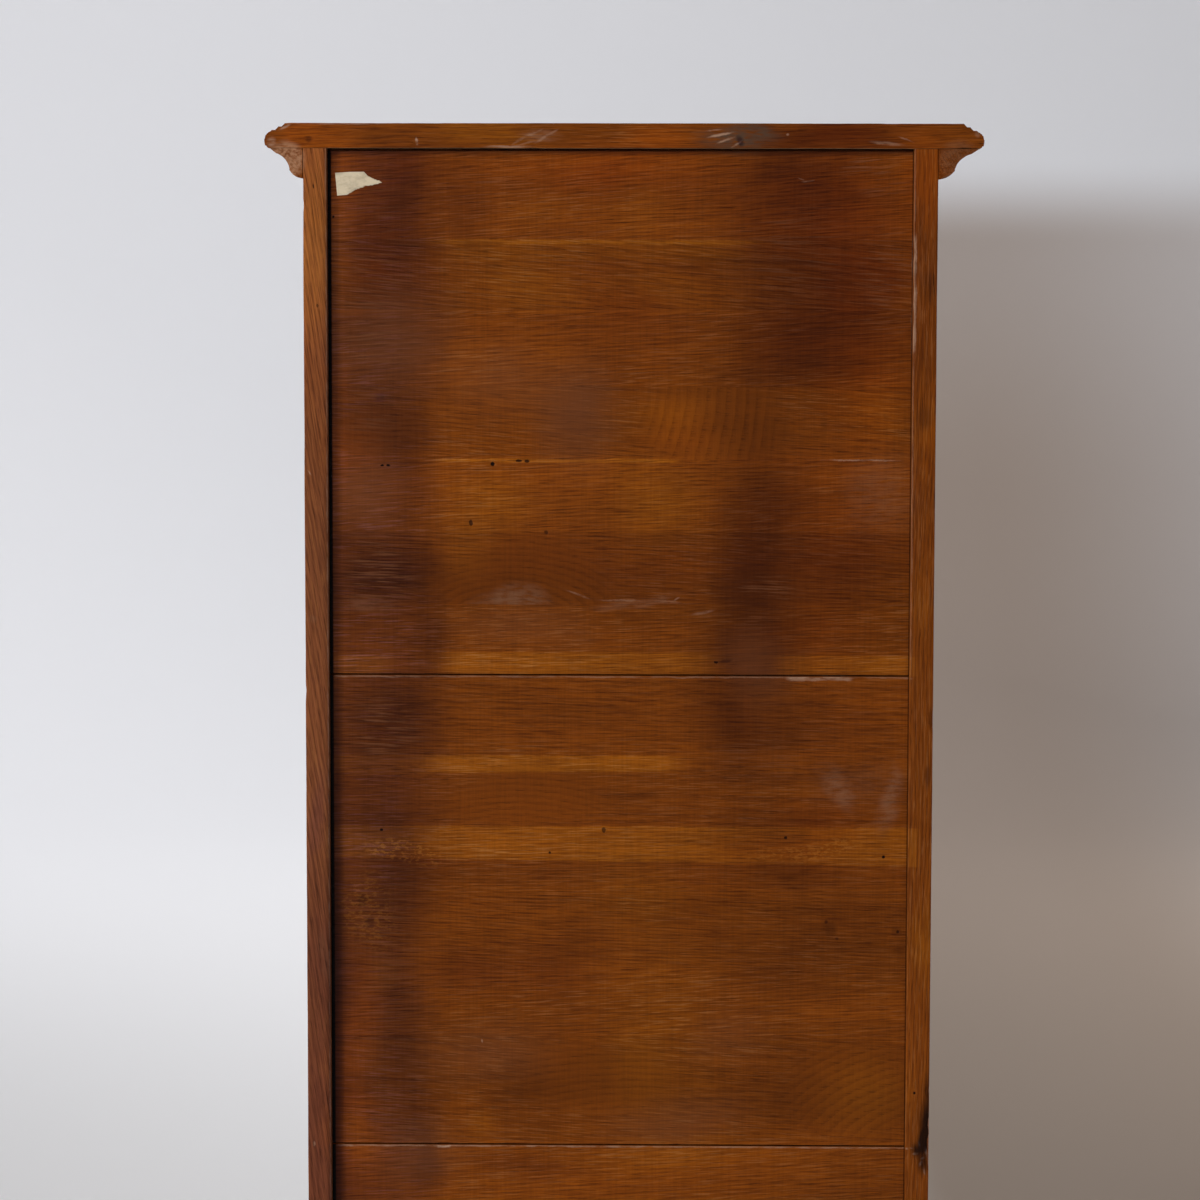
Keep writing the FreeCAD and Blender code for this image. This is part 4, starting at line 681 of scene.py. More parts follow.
# Broad figure: a patch with growth rings of its own about a centre, stretched by wide and tall. It
# shows only between the joints low and high.
Figure = namedtuple("Figure", "x z half_x half_z centre_x centre_z wide tall spacing low high")
FIGURES = [Figure(*row) for row in (
    (-98, 1450, 100, 76, 40, 1500, 1.0, 1.5, 11, 1409, 1490),
    (270, 1440, 60, 34, 250, 1700, 1.6, 1.0, 6, 1409, 1490),
    (120, 1275, 130, 52, 128, 1225, 1.9, 1.0, 7, 1247, 1328),
    (-164, 1268, 60, 32, -164, 1150, 1.6, 1.0, 5.4, 1247, 1328),
    (110, 1030, 120, 44, 120, 960, 2.2, 1.0, 7, 998, 1078),
    (-262, 702, 96, 76, -390, 590, 1.5, 1.0, 8.5, 635, 753),
    (30, 720, 120, 50, -20, 640, 3.0, 1.0, 7.5, 635, 753),
)]
FIGURE_CALM = 0.92          # how much of the fibres' contrast is lost where broad figure shows
FIGURE_RINGS = 0.95         # how dark its rings are, against those of the wood about it

# Patches of short bright flecks, where rays of the wood reach the face, and of pale dust that
# lies in the pores.
FLECKS = [Mark(*row) for row in (
    (238, 978, 62, 20, 0.8, -10), (-200, 978, 80, 18, 0.55, 10), (283, 905, 46, 60, 0.25))]
DUST = [Mark(*row) for row in (
    (275, 1290, 60, 60, 0.9), (270, 1110, 60, 50, 0.9), (280, 1560, 70, 220, 0.6),
    (265, 850, 70, 260, 0.5), (-285, 1724, 42, 36, 1.0), (-287, 1600, 40, 90, 0.9),
    (-164, 1262, 56, 24, 0.8), (-190, 1640, 90, 90, 0.45), (240, 650, 50, 80, 0.5),
    (-150, 1080, 80, 40, 0.5))]
DUST_COLOUR = (0.200, 0.077, 0.032, 1)
FLECK_COLOUR = (0.400, 0.150, 0.020, 1)
# The pale threads' colour: partly the fibres' own, partly a painted glint.
THREAD_GLINT_COLOUR = (0.300, 0.110, 0.030, 1)
DARK_THREAD = (0.56, 0.50, 0.60, 1)
STAVE_TONES = (0.92, 1.08)          # the darkest and the lightest stave
WORN_IN, WORN_OUT = 0.12, 0.5       # how rubbed the arrises are inside the press and at its rear
WORN_BAND = (0.210, 0.232)          # from where to where, along Y, that changes
RED_EDGE, REDDENED = (0.185, 0.270), 0.95       # the back boards redden towards +X


def near(low, high, marks):
    """The marks that reach a box."""
    return [m for m in marks
            if low.z < (m.z + m.half_z) * MM and (m.z - m.half_z) * MM < high.z
            and low.x < (m.x + m.half_x) * MM and (m.x - m.half_x) * MM < high.x]


def stave_values(paint):
    """A tone for each stave, and where the pith of its tree lies."""
    high, beyond = 1.8, 0.3             # the ramp's height, and how far outside it a pith may lie
    joints = (0,) + tuple(reversed(STAVE_JOINTS)) + (BACK_TOP,)
    stops = []
    for i in range(len(joints) - 1):
        middle = (joints[i] + joints[i + 1]) / 2 * MM
        side = 1 if math.sin(i * 37.7) > 0 else -1
        across = 0.02 if joints[i + 1] in FLAT_SAWN else 0.12 + 0.06 * math.sin(i * 5.1)
        tone = 0.5 + 0.5 * math.sin(i * 91.3 + 1)
        depth = 0.5 + 0.5 * math.sin(i * 17.1 + 2)
        pith = (middle + side * across + beyond) / (high + 2 * beyond)
        stops.append((joints[i] * MM / high, (tone, pith, depth, 1)))
    values = paint.ramp(paint.math("DIVIDE", paint.z, high), stops, "CONSTANT")
    tone, across, into = paint.split(values)
    across = paint.less(paint.times(across, high + 2 * beyond), beyond)
    into = paint.less(0.19, paint.times(into, 0.08))
    return tone, paint.combine(0.0, across, into)


class Rear(Oak):
    """Oak of a piece that shows at the rear, with the marks that lie on it."""

    fine, fibrous = (20, 560, 560), (0.68, -0.14)
    cloud_detail, cloudy = (6, 0.66), (0.74, 1.23)

    def __init__(self, piece, axis, seed, staves=None, raw_face=None, bold=0.30, finish=BACK,
                 lean=0.01):
        self.lean = lean
        super().__init__("oak_" + piece, axis, seed, finish, pith=(0.02, 0.16), staves=staves)
        self.low, self.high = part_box(piece)
        # Marks are laid by the place on the rear, moved about a little or, for loose ones, a lot.
        self.flat = self.vector("MULTIPLY", self.place, (1, 0, 1))
        self.tight = self.warp(self.warp(self.flat, (60, 60, 60), (0.003, 0, 0.003), 9),
                               (500, 500, 500), (0.0012, 0, 0.0012), 13)
        self.loose = self.warp(self.warp(self.flat, (6, 6, 6), (0.075, 0, 0.060), 5),
                               (26, 26, 40), (0.022, 0, 0.010), 7)
        self.rear = self.facing((0, 1, 0), 0.5, 0.8)
        self.busy = 1.0
        if staves:
            self.figures()
        worn = self.step(self.y, *WORN_BAND, WORN_IN, WORN_OUT)
        self.colour, self.rough = self.along(raw_face, bold, worn)
        self.dents = 0.0
        self.threads()
        if staves:
            self.silk()

    def figures(self):
        """Rings about centres of their own, with the fibres calmed where they show."""
        for f in near(self.low, self.high, FIGURES):
            inside = self.ellipse(self.loose, Mark(f.x, f.z, f.half_x, f.half_z, 1), 0.5)
            inside = self.times(inside, self.past(self.z, f.low, 1.0))
            inside = self.times(inside, self.past(self.z, f.high, 1.0, -1))
            inputs = {"Vector": self.tight, "Location": (f.centre_x * MM, 0, f.centre_z * MM),
                      "Scale": (f.wide, 1, f.tall)}
            away = self.node("Mapping", inputs, vector_type="TEXTURE")
            radius = self.node("VectorMath", {0: away}, "Value", operation="LENGTH")
            rings = self.times(self.years(radius, f.spacing * MM), FIGURE_RINGS)
            self.early = self.node("Mix", {0: inside, 2: self.early, 3: rings}, data_type="FLOAT")
            calm = self.times(inside, FIGURE_CALM)
            self.fibre = self.node("Mix", {0: calm, 2: self.fibre, 3: 0.5}, data_type="FLOAT")
            self.busy = self.times(self.busy, self.less(1.0, calm))

    def threads(self):
        """Short pale fibres, partly their own colour and partly a painted glint where they catch the light,
        and dark ones between them.
        """
        thread = self.noise(self.grain, (34, 860, 860), 2, 0.5, self.seed + 23)
        where = self.noise(self.grain, (4, 16, 16), 2, 0.5, self.seed + 29)
        pale = self.times(self.step(thread, 0.55, 0.65),
                          self.step(where, 0.40, 0.60, 0.14, 0.42))
        dark = self.times(self.step(thread, 0.45, 0.35),
                          self.step(where, 0.60, 0.40, 0.30, 0.75))
        shown = self.times(self.rear, self.busy)
        for share, how, colour in ((pale, "MIX", THREAD_GLINT_COLOUR), (dark, "MULTIPLY", DARK_THREAD)):
            self.colour = self.blend(how, self.times(share, shown), self.colour, colour)

    def silk(self):
        """Faint scraper lines across the boards, and each stave's own tone."""
        tone = self.line(self.stave, 0, 1, *STAVE_TONES)
        lines = self.noise(self.flat, (420, 0, 16), 2, 0.6, 21)
        tone = self.times(tone, self.step(lines, 0.3, 0.7, 0.94, 1.06))
        self.colour = self.blend("MULTIPLY", 1.0, self.colour, self.combine(tone, tone, tone))

    def lay(self, kind, mask):
        """Lays one kind of mark over what is there."""
        mask = self.times(mask, self.rear)
        self.colour = self.blend(kind.how, mask, self.colour, kind.colour)
        if kind.dip:
            self.dents = self.plus(self.dents, self.times(mask, kind.dip))

    def scatter(self, marks, edge, where, colour):
        """Lays a colour inside some marks, as far as where says."""
        lying = self.total([self.ellipse(self.loose, m, edge) for m in marks])
        self.colour = self.blend("MIX", self.times(lying, where), self.colour, colour)

    def band(self, b):
        """A band's strength inside it, 0 outside it."""
        x, _, z = self.split(self.flat if KINDS[b.kind].straight else self.tight)
        rise = self.times(self.less(b.x0 * MM, x), b.rise)
        lifted = self.less(z, rise)
        mask = self.past(z, b.top, b.soft_top, -1, b.strength)
        for other in (self.past(lifted, b.bottom, b.soft_bottom),
                      self.past(x, b.x0, b.soft_end, -1),
                      self.past(x, b.x1, b.soft_end)):
            mask = self.times(mask, other)
        return mask

    def marked(self):
        """All the marks that reach this piece, and the finished material."""
        streaks = self.noise(self.grain, (20, 460, 460), 3, 0.6, 31)
        patches = self.noise(self.grain, (60, 240, 240), 4, 0.65, 51)
        dusty = near(self.low, self.high, DUST)
        flecked = near(self.low, self.high, FLECKS)
        bands = [b for b in BANDS if b.bottom * MM < self.high.z and b.top * MM > self.low.z
                 and b.x1 * MM < self.high.x and b.x0 * MM > self.low.x]
        for name, kind in KINDS.items():
            where = self.loose if kind.loose else self.tight
            masks = [self.ellipse(where, m, kind.edge)
                     for m in near(self.low, self.high, MARKS.get(name, ()))]
            masks += [self.band(b) for b in bands if b.kind == name]
            if masks:
                mask = self.total(masks)
                if kind.patchy:
                    mask = self.times(mask, self.step(patches, 0.32, 0.60, 0.15, 1.0))
                self.lay(kind, mask)
            if name == "film" and dusty:
                self.scatter(dusty, 0.8, self.step(streaks, 0.50, 0.66, 0.0, 0.50), DUST_COLOUR)
            if name == "sap" and flecked:
                fleck = self.noise(self.tight, (170, 1, 420), 2, 0.6, 41)
                self.scatter(flecked, 0.6, self.step(fleck, 0.50, 0.62, 0.0, 0.7), FLECK_COLOUR)
        return self.done(self.colour, self.rough, self.dents)


def back_oak(board):
    """Oak of a back board, which is redder towards +X."""
    paint = Rear(board, "X", 1.7, staves=stave_values, raw_face=(0, -1, 0))
    edge = paint.split(paint.loose)[0]
    paint.lay(KINDS["red"], paint.step(edge, *RED_EDGE, 0.0, REDDENED))
    return paint.marked()


# ------------------------------------------------------------------ worn pieces at the rear

Corner = namedtuple("Corner", "u v arris step")         # a corner, and the spacing after it
Chip = namedtuple("Chip", "x y z radius deep")          # a chip knocked off, all in millimetres
SLOW, QUICK, WIDE, RAGGED = 14, 90, 9, 900              # waves of wear to the metre
EASE_PARTS = 4                                          # straight parts to an eased corner
CHIP_REACH = 1.3                                        # in radii, how far a chip's edge may wander


def eased(corners):
    """A closed outline through the corners, with points no further apart than each corner's
    step, and for each point how much of it is arris."""
    points = []
    for i, corner in enumerate(corners):
        here = Vector((corner.u, corner.v))
        before = Vector(corners[i - 1][:2])
        after_corner = corners[(i + 1) % len(corners)]
        after = Vector(after_corner[:2])
        arriving, leaving = (here - before).normalized(), (after - here).normalized()
        start, end = here - arriving * corner.arris, here + leaving * corner.arris
        if corner.arris:
            for k in range(EASE_PARTS + 1):
                t = k / EASE_PARTS
                points.append(((1 - t) ** 2 * start + 2 * t * (1 - t) * here + t * t * end, 1.0))
        else:
            points.append((here, 0.0))
        last, goal = end, after - leaving * after_corner.arris
        parts = max(1, round((goal - last).length / corner.step))
        points += [(last.lerp(goal, k / parts), 0.0) for k in range(1, parts)]
    return points


def chipped(place, chips):
    """How deep the chips go at a place, in metres."""
    deep = 0.0
    for chip in chips:
        away = (place - Vector((chip.x, chip.y, chip.z)) * MM).length / (chip.radius * MM)
        if away < CHIP_REACH:
            rough = 0.25 * noise.noise(place * RAGGED)
            deep = max(deep, chip.deep * MM * min(1.0, max(0.0, CHIP_REACH - away + rough)))
    return deep


def wear_at(place, arris, seed, relief, chips):
    """How far the surface has sunk at a place: worn arrises, slow relief and chips."""
    shift = Vector((seed, seed * 2, seed * 3))
    slow, quick, wide = (0.5 + 0.5 * noise.noise(place * waves + shift) for waves in (SLOW, QUICK, WIDE))
    worn = arris * MM * (0.35 * slow + 0.45 * slow * quick)
    return worn + relief * MM * wide + chipped(place, chips)


def sweep(name, stations, section, place, wear, caps=True):
    """A piece with its outline carried through the stations. section gives the outline at a
    station, place gives the point at (station, u, v), and wear says how far a point sinks."""
    count = len(section(stations[0]))
    points, faces = [], []
    for station in stations:
        outline = section(station)
        for k, (point, arris) in enumerate(outline):
            along = (outline[(k + 1) % count][0] - outline[k - 1][0]).normalized()
            inward = Vector((-along.y, along.x))
            sunk = point + inward * wear(Vector(place(station, *point)), arris)
            points.append(place(station, *sunk))
    for i in range(len(stations) - 1):
        a, b = i * count, (i + 1) * count
        for k in range(count):
            j = (k + 1) % count
            faces.append((a + k, a + j, b + j, b + k))
    if caps:
        last = (len(stations) - 1) * count
        faces.append(tuple(range(count - 1, -1, -1)))
        faces.append(tuple(range(last, last + count)))
    made = new_object(name, points, faces, smooth=True)
    made.modifiers.new("even_shading", "WEIGHTED_NORMAL").keep_sharp = True
    made.data.set_sharp_from_angle(angle=math.radians(45))
    return made


def spaced(low, high, step):
    """Values from low to high, about a step apart."""
    parts = max(1, round((high - low) / step))
    return [low + (high - low) * i / parts for i in range(parts + 1)]


def stand_for(piece, node, material):
    """The piece takes the place of a node of the case."""
    piece.data.materials.append(material)
    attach(piece, "case")
    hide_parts(node)


TONGUE, TONGUE_IN = 0.006, 0.004        # a back board's tongue: how tall, and how far in from a face
GROOVE, GROOVE_ROOM = 0.0056, 0.0002    # the groove below: how deep, and its room about the tongue
STATION = ROW = 0.005                   # how far apart the points of a worn piece are
STAVE_STEP = 0.06                       # in millimetres, half the most that a stave stands back
FAR = 0.1                               # a spacing longer than the sides that stay whole


def worn_back_board(board):
    """A back board with a tongue above and a groove below, its staves not quite flush."""
    low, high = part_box(board)
    top = high.z - (TONGUE if board != "back_board_top" else 0)
    front, rear = low.y, high.y
    inner, outer = front + TONGUE_IN, rear - TONGUE_IN
    groove_in, groove_out = inner - GROOVE_ROOM, outer + GROOVE_ROOM
    below = [(front, low.z)]
    if board != "back_board_bottom":
        below += [(groove_in, low.z), (groove_in, low.z + GROOVE),
                  (groove_out, low.z + GROOVE), (groove_out, low.z)]
    above = []
    if board != "back_board_top":
        above = [(outer, top), (outer, high.z), (inner, high.z), (inner, top)]
    outline = eased([*(Corner(*uv, 0, FAR) for uv in below), Corner(rear, low.z, 0.0006, ROW),
                     Corner(rear, top, 0.0007, FAR), *(Corner(*uv, 0, FAR) for uv in above),
                     Corner(front, top, 0, 0.05)])
    steps = [math.sin(k * 7.7) * STAVE_STEP + STAVE_STEP for k in range(len(STAVE_JOINTS) + 1)]

    def wear(place, arris):
        """Only the rear face is worn, and each stave of it stands back by its own step."""
        if place.y < rear - 0.002:
            return 0.0
        stave = sum(place.z * 1000 < joint for joint in STAVE_JOINTS)
        return wear_at(place, arris * 0.7, 3, 0.10, BOARD_CHIPS) + steps[stave] * MM

    made = sweep(f"{board}_worn", spaced(low.x, high.x, STATION), lambda x: outline,
                 lambda x, y, z: (x, y, z), wear)
    stand_for(made, board, back_oak(board))


def worn_rear_stile(node, seed, bold, chips, finish, lean):
    """A rear stile, grooved for the back boards, with worn arrises on its rear edge."""
    low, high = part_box(node)
    board_low, board_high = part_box("back_board_middle")
    right = low.x > 0
    inner, outer = (low.x, high.x) if right else (high.x, low.x)
    deep = board_high.x + 0.001 if right else board_low.x - 0.001
    corners = [Corner(inner, low.y, 0, 0.02), Corner(outer, low.y, 0.0004, 0.012),
               Corner(outer, high.y, 0.0016, 0.003), Corner(inner, high.y, 0.0018, 0.003),
               Corner(inner, board_high.y, 0.0002, 0.003), Corner(deep, board_high.y, 0, 0.01),
               Corner(deep, board_low.y, 0, 0.01), Corner(inner, board_low.y, 0, 0.02)]
    outline = eased(corners if right else corners[::-1])

    def wear(place, arris):
        if place.y < board_high.y + 0.001:
            return 0.0
        return wear_at(place, arris, seed, 0.08, chips)

    made = sweep(f"{node}_worn", spaced(low.z, high.z, STATION), lambda z: outline,
                 lambda z, x, y: (x, y, z), wear)
    stand_for(made, node, Rear(node, "Z", seed, bold=bold, finish=finish, lean=lean).marked())


def arc(start, end, radius, side, parts=5):
    """The points between the ends of an arc that bulges to the left or the right of its chord."""
    start, end = Vector(start), Vector(end)
    chord = end - start
    across = Vector((-chord.y, chord.x)).normalized()
    centre = (start + end) / 2 - across * side * math.sqrt(radius ** 2 - (chord.length / 2) ** 2)
    first = math.atan2(*(start - centre).yx)
    turn = (math.atan2(*(end - centre).yx) - first + math.pi) % (2 * math.pi) - math.pi
    angles = [first + turn * k / parts for k in range(1, parts)]
    return [centre + radius * Vector((math.cos(a), math.sin(a))) for a in angles]


# The top board's edge: the radius of its round, how far outside the round's centre the round ends
# below, the height at which it meets the bevel above, and the bevel's slope.
NOSE, NOSE_TUCK, NOSE_TANGENT = 0.010, 0.0039, 0.01786
BEVEL_TAN, BEVEL_SIN = math.tan(math.radians(30)), 0.5


def nose_profile(tall):
    """How far the edge of the top board stands in at each height above its underside."""
    foot = NOSE * (1 - BEVEL_SIN)
    head = foot + (tall - NOSE_TANGENT) / BEVEL_TAN
    under, tangent = (NOSE - NOSE_TUCK, 0.0), (foot, NOSE_TANGENT)
    bevel = [(foot + (head - foot) * k / 5, NOSE_TANGENT + (tall - NOSE_TANGENT) * k / 5)
             for k in range(1, 6)]
    return [under] + [tuple(p) for p in arc(under, tangent, NOSE, 1, 9)] + [tangent] + bevel


def worn_top_board():
    """The top board: a rounded and bevelled front and ends, and a square rear with worn arrises."""
    low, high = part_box("top_board")
    profile = nose_profile(high.z - low.z)
    front = [(Vector((low.y + inset, low.z + tall)), 0.0) for inset, tall in profile[::-1]]
    square = eased([Corner(low.y + profile[0][0], low.z, 0, 0.02),
                    Corner(high.y, low.z, 0.0010, 0.0028),
                    Corner(high.y, high.z, 0.0016, 0.02),
                    Corner(low.y + profile[-1][0], high.z, 0, 0.02)])
    outline = front[1:-1] + square
    widest = min(range(len(profile)), key=lambda k: profile[k][0])

    def heights(x):
        """Between which heights the board is at a station near one of its ends."""
        inset = min(x - low.x, high.x - x)
        if inset >= profile[-1][0]:
            return low.z, high.z
        below = [p for p in profile[:widest + 1] if p[0] >= inset - 1e-9] or [profile[0]]
        above = [p for p in profile[widest:] if p[0] <= inset + 1e-9] or [profile[widest]]
        bottom = below[-1][1] if inset < profile[0][0] else 0.0
        return low.z + bottom, low.z + above[-1][1]

    def section(x):
        bottom, top = heights(x)
        return [(Vector((p.x, min(max(p.y, bottom), top))), arris) for p, arris in outline]

    def wear(place, arris):
        """The rear edge is worn, and less so where its ends meet the board's ends."""
        if place.y < high.y - 0.03:
            return 0.0
        end = max(0.0, 1 - min(place.x - low.x, high.x - place.x) / 0.004)
        return wear_at(place, arris, 6, 0.10, TOP_CHIPS) * (1 - end)

    insets = sorted({round(inset, 6) for inset, tall in profile} | {0.0112, 0.0142, 0.0185})
    stations = [low.x + inset for inset in insets]
    stations += spaced(stations[-1], high.x - insets[-1], 0.004)[1:-1]
    stations += [high.x - inset for inset in reversed(insets)]
    made = sweep("top_board_worn", stations, section, lambda x, y, z: (x, y, z), wear, caps=False)
    stand_for(made, "top_board", Rear("top_board", "X", 2.3, raw_face=(0, 0, -1)).marked())


CORNICE = 0.033          # how tall the cornice moulding is
CHIPPED_END = 0.030      # how far along the moulding its sawn end is worn


def worn_cornice(side):
    """A side cornice moulding. Its sawn rear end is a little worn."""
    node = f"cornice_{side}"
    low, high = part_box(node)
    face = {"right": low.x, "left": -high.x}[side]
    out = high.x - low.x
    front_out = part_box("cornice_front")[1].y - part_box("cornice_front")[0].y
    top = high.z
    case_front = low.y + front_out
    # Its hollow and its round: how far out they stand, and how far down from the top.
    cavetto = [(0.84 * out, -0.0056), (0.42 * out, -0.022)]
    ovolo = [(0.42 * out, -0.024), (0.03 * out, -0.033)]
    shape = [(0, 0), (0, -CORNICE), ovolo[1], *arc(ovolo[1], ovolo[0], 0.46 * out, -1), ovolo[0],
             cavetto[1], *arc(cavetto[1], cavetto[0], 0.61 * out, 1, 7), cavetto[0],
             (out, -0.0012), (out, 0)]
    outline = [(Vector(p), 1.0 if 2 < k < len(shape) - 1 else 0.0) for k, p in enumerate(shape)]

    def place(t, u, v):
        """The point of the moulding at a share t of its length, mitred at the front."""
        mitre = case_front - u * front_out / out
        y = high.y + (mitre - high.y) * t
        return (face + u) * (1 if side == "right" else -1), y, top + v

    def wear(where, arris):
        if where.y < high.y - CHIPPED_END:
            return 0.0
        return arris * wear_at(where, 0.4, 12, 0.3, CORNICE_CHIPS)

    stations = spaced(0, 0.1, 0.006) + spaced(0.1, 1, 0.1)[1:]
    if side == "left":
        stations = stations[::-1]
    made = sweep(f"{node}_worn", stations, lambda t: outline, place, wear)
    stand_for(made, node, Rear(node, "Y", 6).marked())


BOARD_CHIPS = [Chip(*row) for row in (
    (201, 232, 633.8, 7, 0.9), (-219, 232, 1167.5, 16, 0.5), (-196, 232, 1167.5, 7, 0.6),
    (-243, 232, 1167.5, 6, 0.6), (216, 232, 1169.4, 7, 0.5), (-60, 232, 634, 5, 0.5),
    (168, 232, 1338, 3, 0.8), (145, 232, 1404, 3, 1.0), (-233, 232, 884, 6, 0.5),
)]
RIGHT_STILE_CHIPS = [Chip(*row) for row in (
    (350, 238, 1394, 4, 0.5), (347, 238, 636, 5, 0.6), (327, 238, 1430, 7, 0.9),
    (354, 238, 1690, 6, 0.7), (354, 238, 1150, 7, 0.7), (327, 238, 1325, 5, 0.8),
)]
LEFT_STILE_CHIPS = [Chip(*row) for row in (
    (-346, 238, 640, 9, 2.0), (-344, 238, 622, 7, 1.8), (-346, 238, 662, 6, 1.4),
    (-331, 238, 625, 4, 0.8), (-346, 238, 700, 5, 0.9), (-319, 238, 1640, 9, 1.0),
    (-319, 238, 1568, 12, 0.9), (-319, 238, 1600, 6, 0.6), (-346, 238, 1120, 10, 0.8),
    (-319, 238, 628, 5, 1.0),
)]

TOP_CHIPS = [Chip(*row) for row in (
    (379, 238, 1780, 9, 0.8), (230, 238, 1757, 5, 0.9), (348, 238, 1763, 5, 0.5),
    (100, 238, 1752, 8, 0.5), (-128, 238, 1758, 6, 0.8), (-375, 238, 1752, 8, 0.8),
    (-384, 238, 1770, 7, 0.7), (210, 238, 1780, 8, 0.5), (-295, 238, 1780, 9, 0.6),
)]
CORNICE_CHIPS = [Chip(*row) for row in (
    (-354, 238, 1722, 8, 2.6), (-372, 238, 1735, 5, 1.2), (362, 238, 1728, 5, 1.0),
)]

# The outline of the stub of a torn paper label, in millimetres, from its upper corner at +X round
# by its ragged tip.
STUB = ((318.5, 1725.2), (302.8, 1726.2), (286.5, 1726.4), (282.4, 1721.8), (277.2, 1719.0),
        (272.1, 1717.5), (266.2, 1714.7), (273.8, 1712.3), (284.2, 1710.9), (296.0, 1706.6),
        (305.3, 1701.0), (316.3, 1700.1))
TORN_FROM = 3            # the outline is cut straight up to here, and torn after it
PAPER = 0.00018          # how thick each layer is


def paper_layer(name, rear, thick, shrink, colour):
    """One layer of the label's stub, blank, with ragged edges where it was torn."""
    middle = Vector((sum(p[0] for p in STUB), sum(p[1] for p in STUB))) / len(STUB) * MM
    rim = []
    for i, corner in enumerate(STUB):
        here = Vector(corner) * MM
        after = Vector(STUB[(i + 1) % len(STUB)]) * MM
        parts = max(2, round((after - here).length / 0.0006))
        torn = TORN_FROM <= i < len(STUB) - 2
        for k in range(parts):
            point = here.lerp(after, k / parts)
            ragged = Vector((point.x, rear, point.y))
            if torn:
                point += Vector((noise.noise(ragged * 600), noise.noise(ragged * 700))) * 0.0009
            rim.append(point + (middle - point).normalized() * shrink * (1.0 if torn else 0.1))
    count = len(rim)
    points = [(p.x, rear, p.y) for p in rim] + [(p.x, rear - thick, p.y) for p in rim]
    faces = [tuple(range(count)), tuple(range(2 * count - 1, count - 1, -1))]
    faces += [(k, count + k, count + (k + 1) % count, (k + 1) % count) for k in range(count)]
    layer = new_object(name, points, faces)
    paint = Paint(name)
    fibre = paint.noise(paint.place, (500, 500, 1500), 3, 0.6, 2.0)
    stain = paint.noise(paint.place, (60, 60, 90), 3, 0.6, 5.0)
    dull = [c * 0.72 for c in colour[:3]] + [1]
    tone = paint.blend("MIX", paint.step(stain, 0.42, 0.68), colour, dull)
    tone = paint.blend("MULTIPLY", paint.step(fibre, 0.4, 0.7, 0.0, 0.25), tone, (0.7, 0.62, 0.5, 1))
    layer.data.materials.append(paint.finish(tone, 0.9, fibre, 0.0001, specular=0.1))
    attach(layer, "case")


def paper_stub():
    """The label's stub: a backing, and a smaller layer on it."""
    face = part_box("back_board_top")[1].y
    paper_layer("label_backing", face + PAPER, 2 * PAPER, 0.0, (0.50, 0.40, 0.27, 1))
    paper_layer("label_stub", face + 2 * PAPER, PAPER, 0.0009, (0.62, 0.525, 0.375, 1))


# ------------------------------------------------------------------ screws, pins and pegs

def frame_about(normal, turn):
    """Two directions across a normal, turned about it."""
    across = normal.orthogonal().normalized()
    across = Matrix.Rotation(turn, 3, normal) @ across
    return across, normal.cross(across)


def prism(points, faces, rim, centre, axes, normal, foot, rise, ease):
    """Adds a low solid with a rim in the plane of the axes. Its upper edge is eased."""
    first, count = len(points), len(rim)
    for height, keep in ((foot, 1.0), (foot + rise * 0.6, 1.0), (foot + rise, 1.0 - ease)):
        middle = sum(rim, Vector((0, 0))) / count
        for p in rim:
            q = middle + (p - middle) * keep
            points.append(centre + axes[0] * q.x + axes[1] * q.y + normal * height)
    for level in range(2):
        a, b = first + level * count, first + (level + 1) * count
        faces += [(a + k, a + (k + 1) % count, b + (k + 1) % count, b + k) for k in range(count)]
    faces.append(tuple(first + 2 * count + k for k in range(count)))
    faces.append(tuple(first + k for k in reversed(range(count))))


def circle(radius, parts, start=0.0, sweep_by=2 * math.pi):
    """Points round a circle, or round part of it with both ends."""
    last = parts if sweep_by == 2 * math.pi else parts - 1
    angles = [start + sweep_by * k / last for k in range(parts)]
    return [Vector((math.cos(a), math.sin(a))) * radius for a in angles]


SLOT_WIDE = 0.16                # of a screw's head


def screws(name, places, radius, body, material):
    """Slotted screws with low heads, each turned its own way. A place is a point and a normal."""
    points, faces = [], []
    for i, (centre, normal) in enumerate(places):
        centre, normal = Vector(centre), Vector(normal)
        axes = frame_about(normal, 2.4 * i)
        prism(points, faces, circle(radius, 20), centre, axes, normal, -0.0003, 0.0004, 0.03)
        open_by = math.asin(SLOT_WIDE)
        for half in (0, math.pi):
            rim = circle(radius * 0.96, 12, half + open_by, math.pi - 2 * open_by)
            prism(points, faces, rim, centre, axes, normal, 0.0, 0.00045, 0.10)
    made = new_object(name, points, faces)
    made.data.materials.append(material)
    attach(made, body)


def studs(name, places, radius, rise, body, material, facets=18, ease=0.35):
    """Round heads, or pegs with few facets that stand a little proud."""
    points, faces = [], []
    for i, (centre, normal) in enumerate(places):
        centre, normal = Vector(centre), Vector(normal)
        axes = frame_about(normal, 1.7 * i)
        rim = [p * (1 + 0.04 * math.sin(5 * k + i)) for k, p in enumerate(circle(radius, facets + 1)[:-1])]
        prism(points, faces, rim, centre, axes, normal, -0.0005, 0.0005 + rise, ease)
    made = new_object(name, points, faces, smooth=True)
    made.data.set_sharp_from_angle(angle=math.radians(35))
    made.data.materials.append(material)
    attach(made, body)


SIDES = {"left": -1, "right": 1}
PLATE_THICK = 0.0015            # of a bolt's plate, behind its guides
LOCK_INSET = 0.0065             # from the lock case's edges to its screws


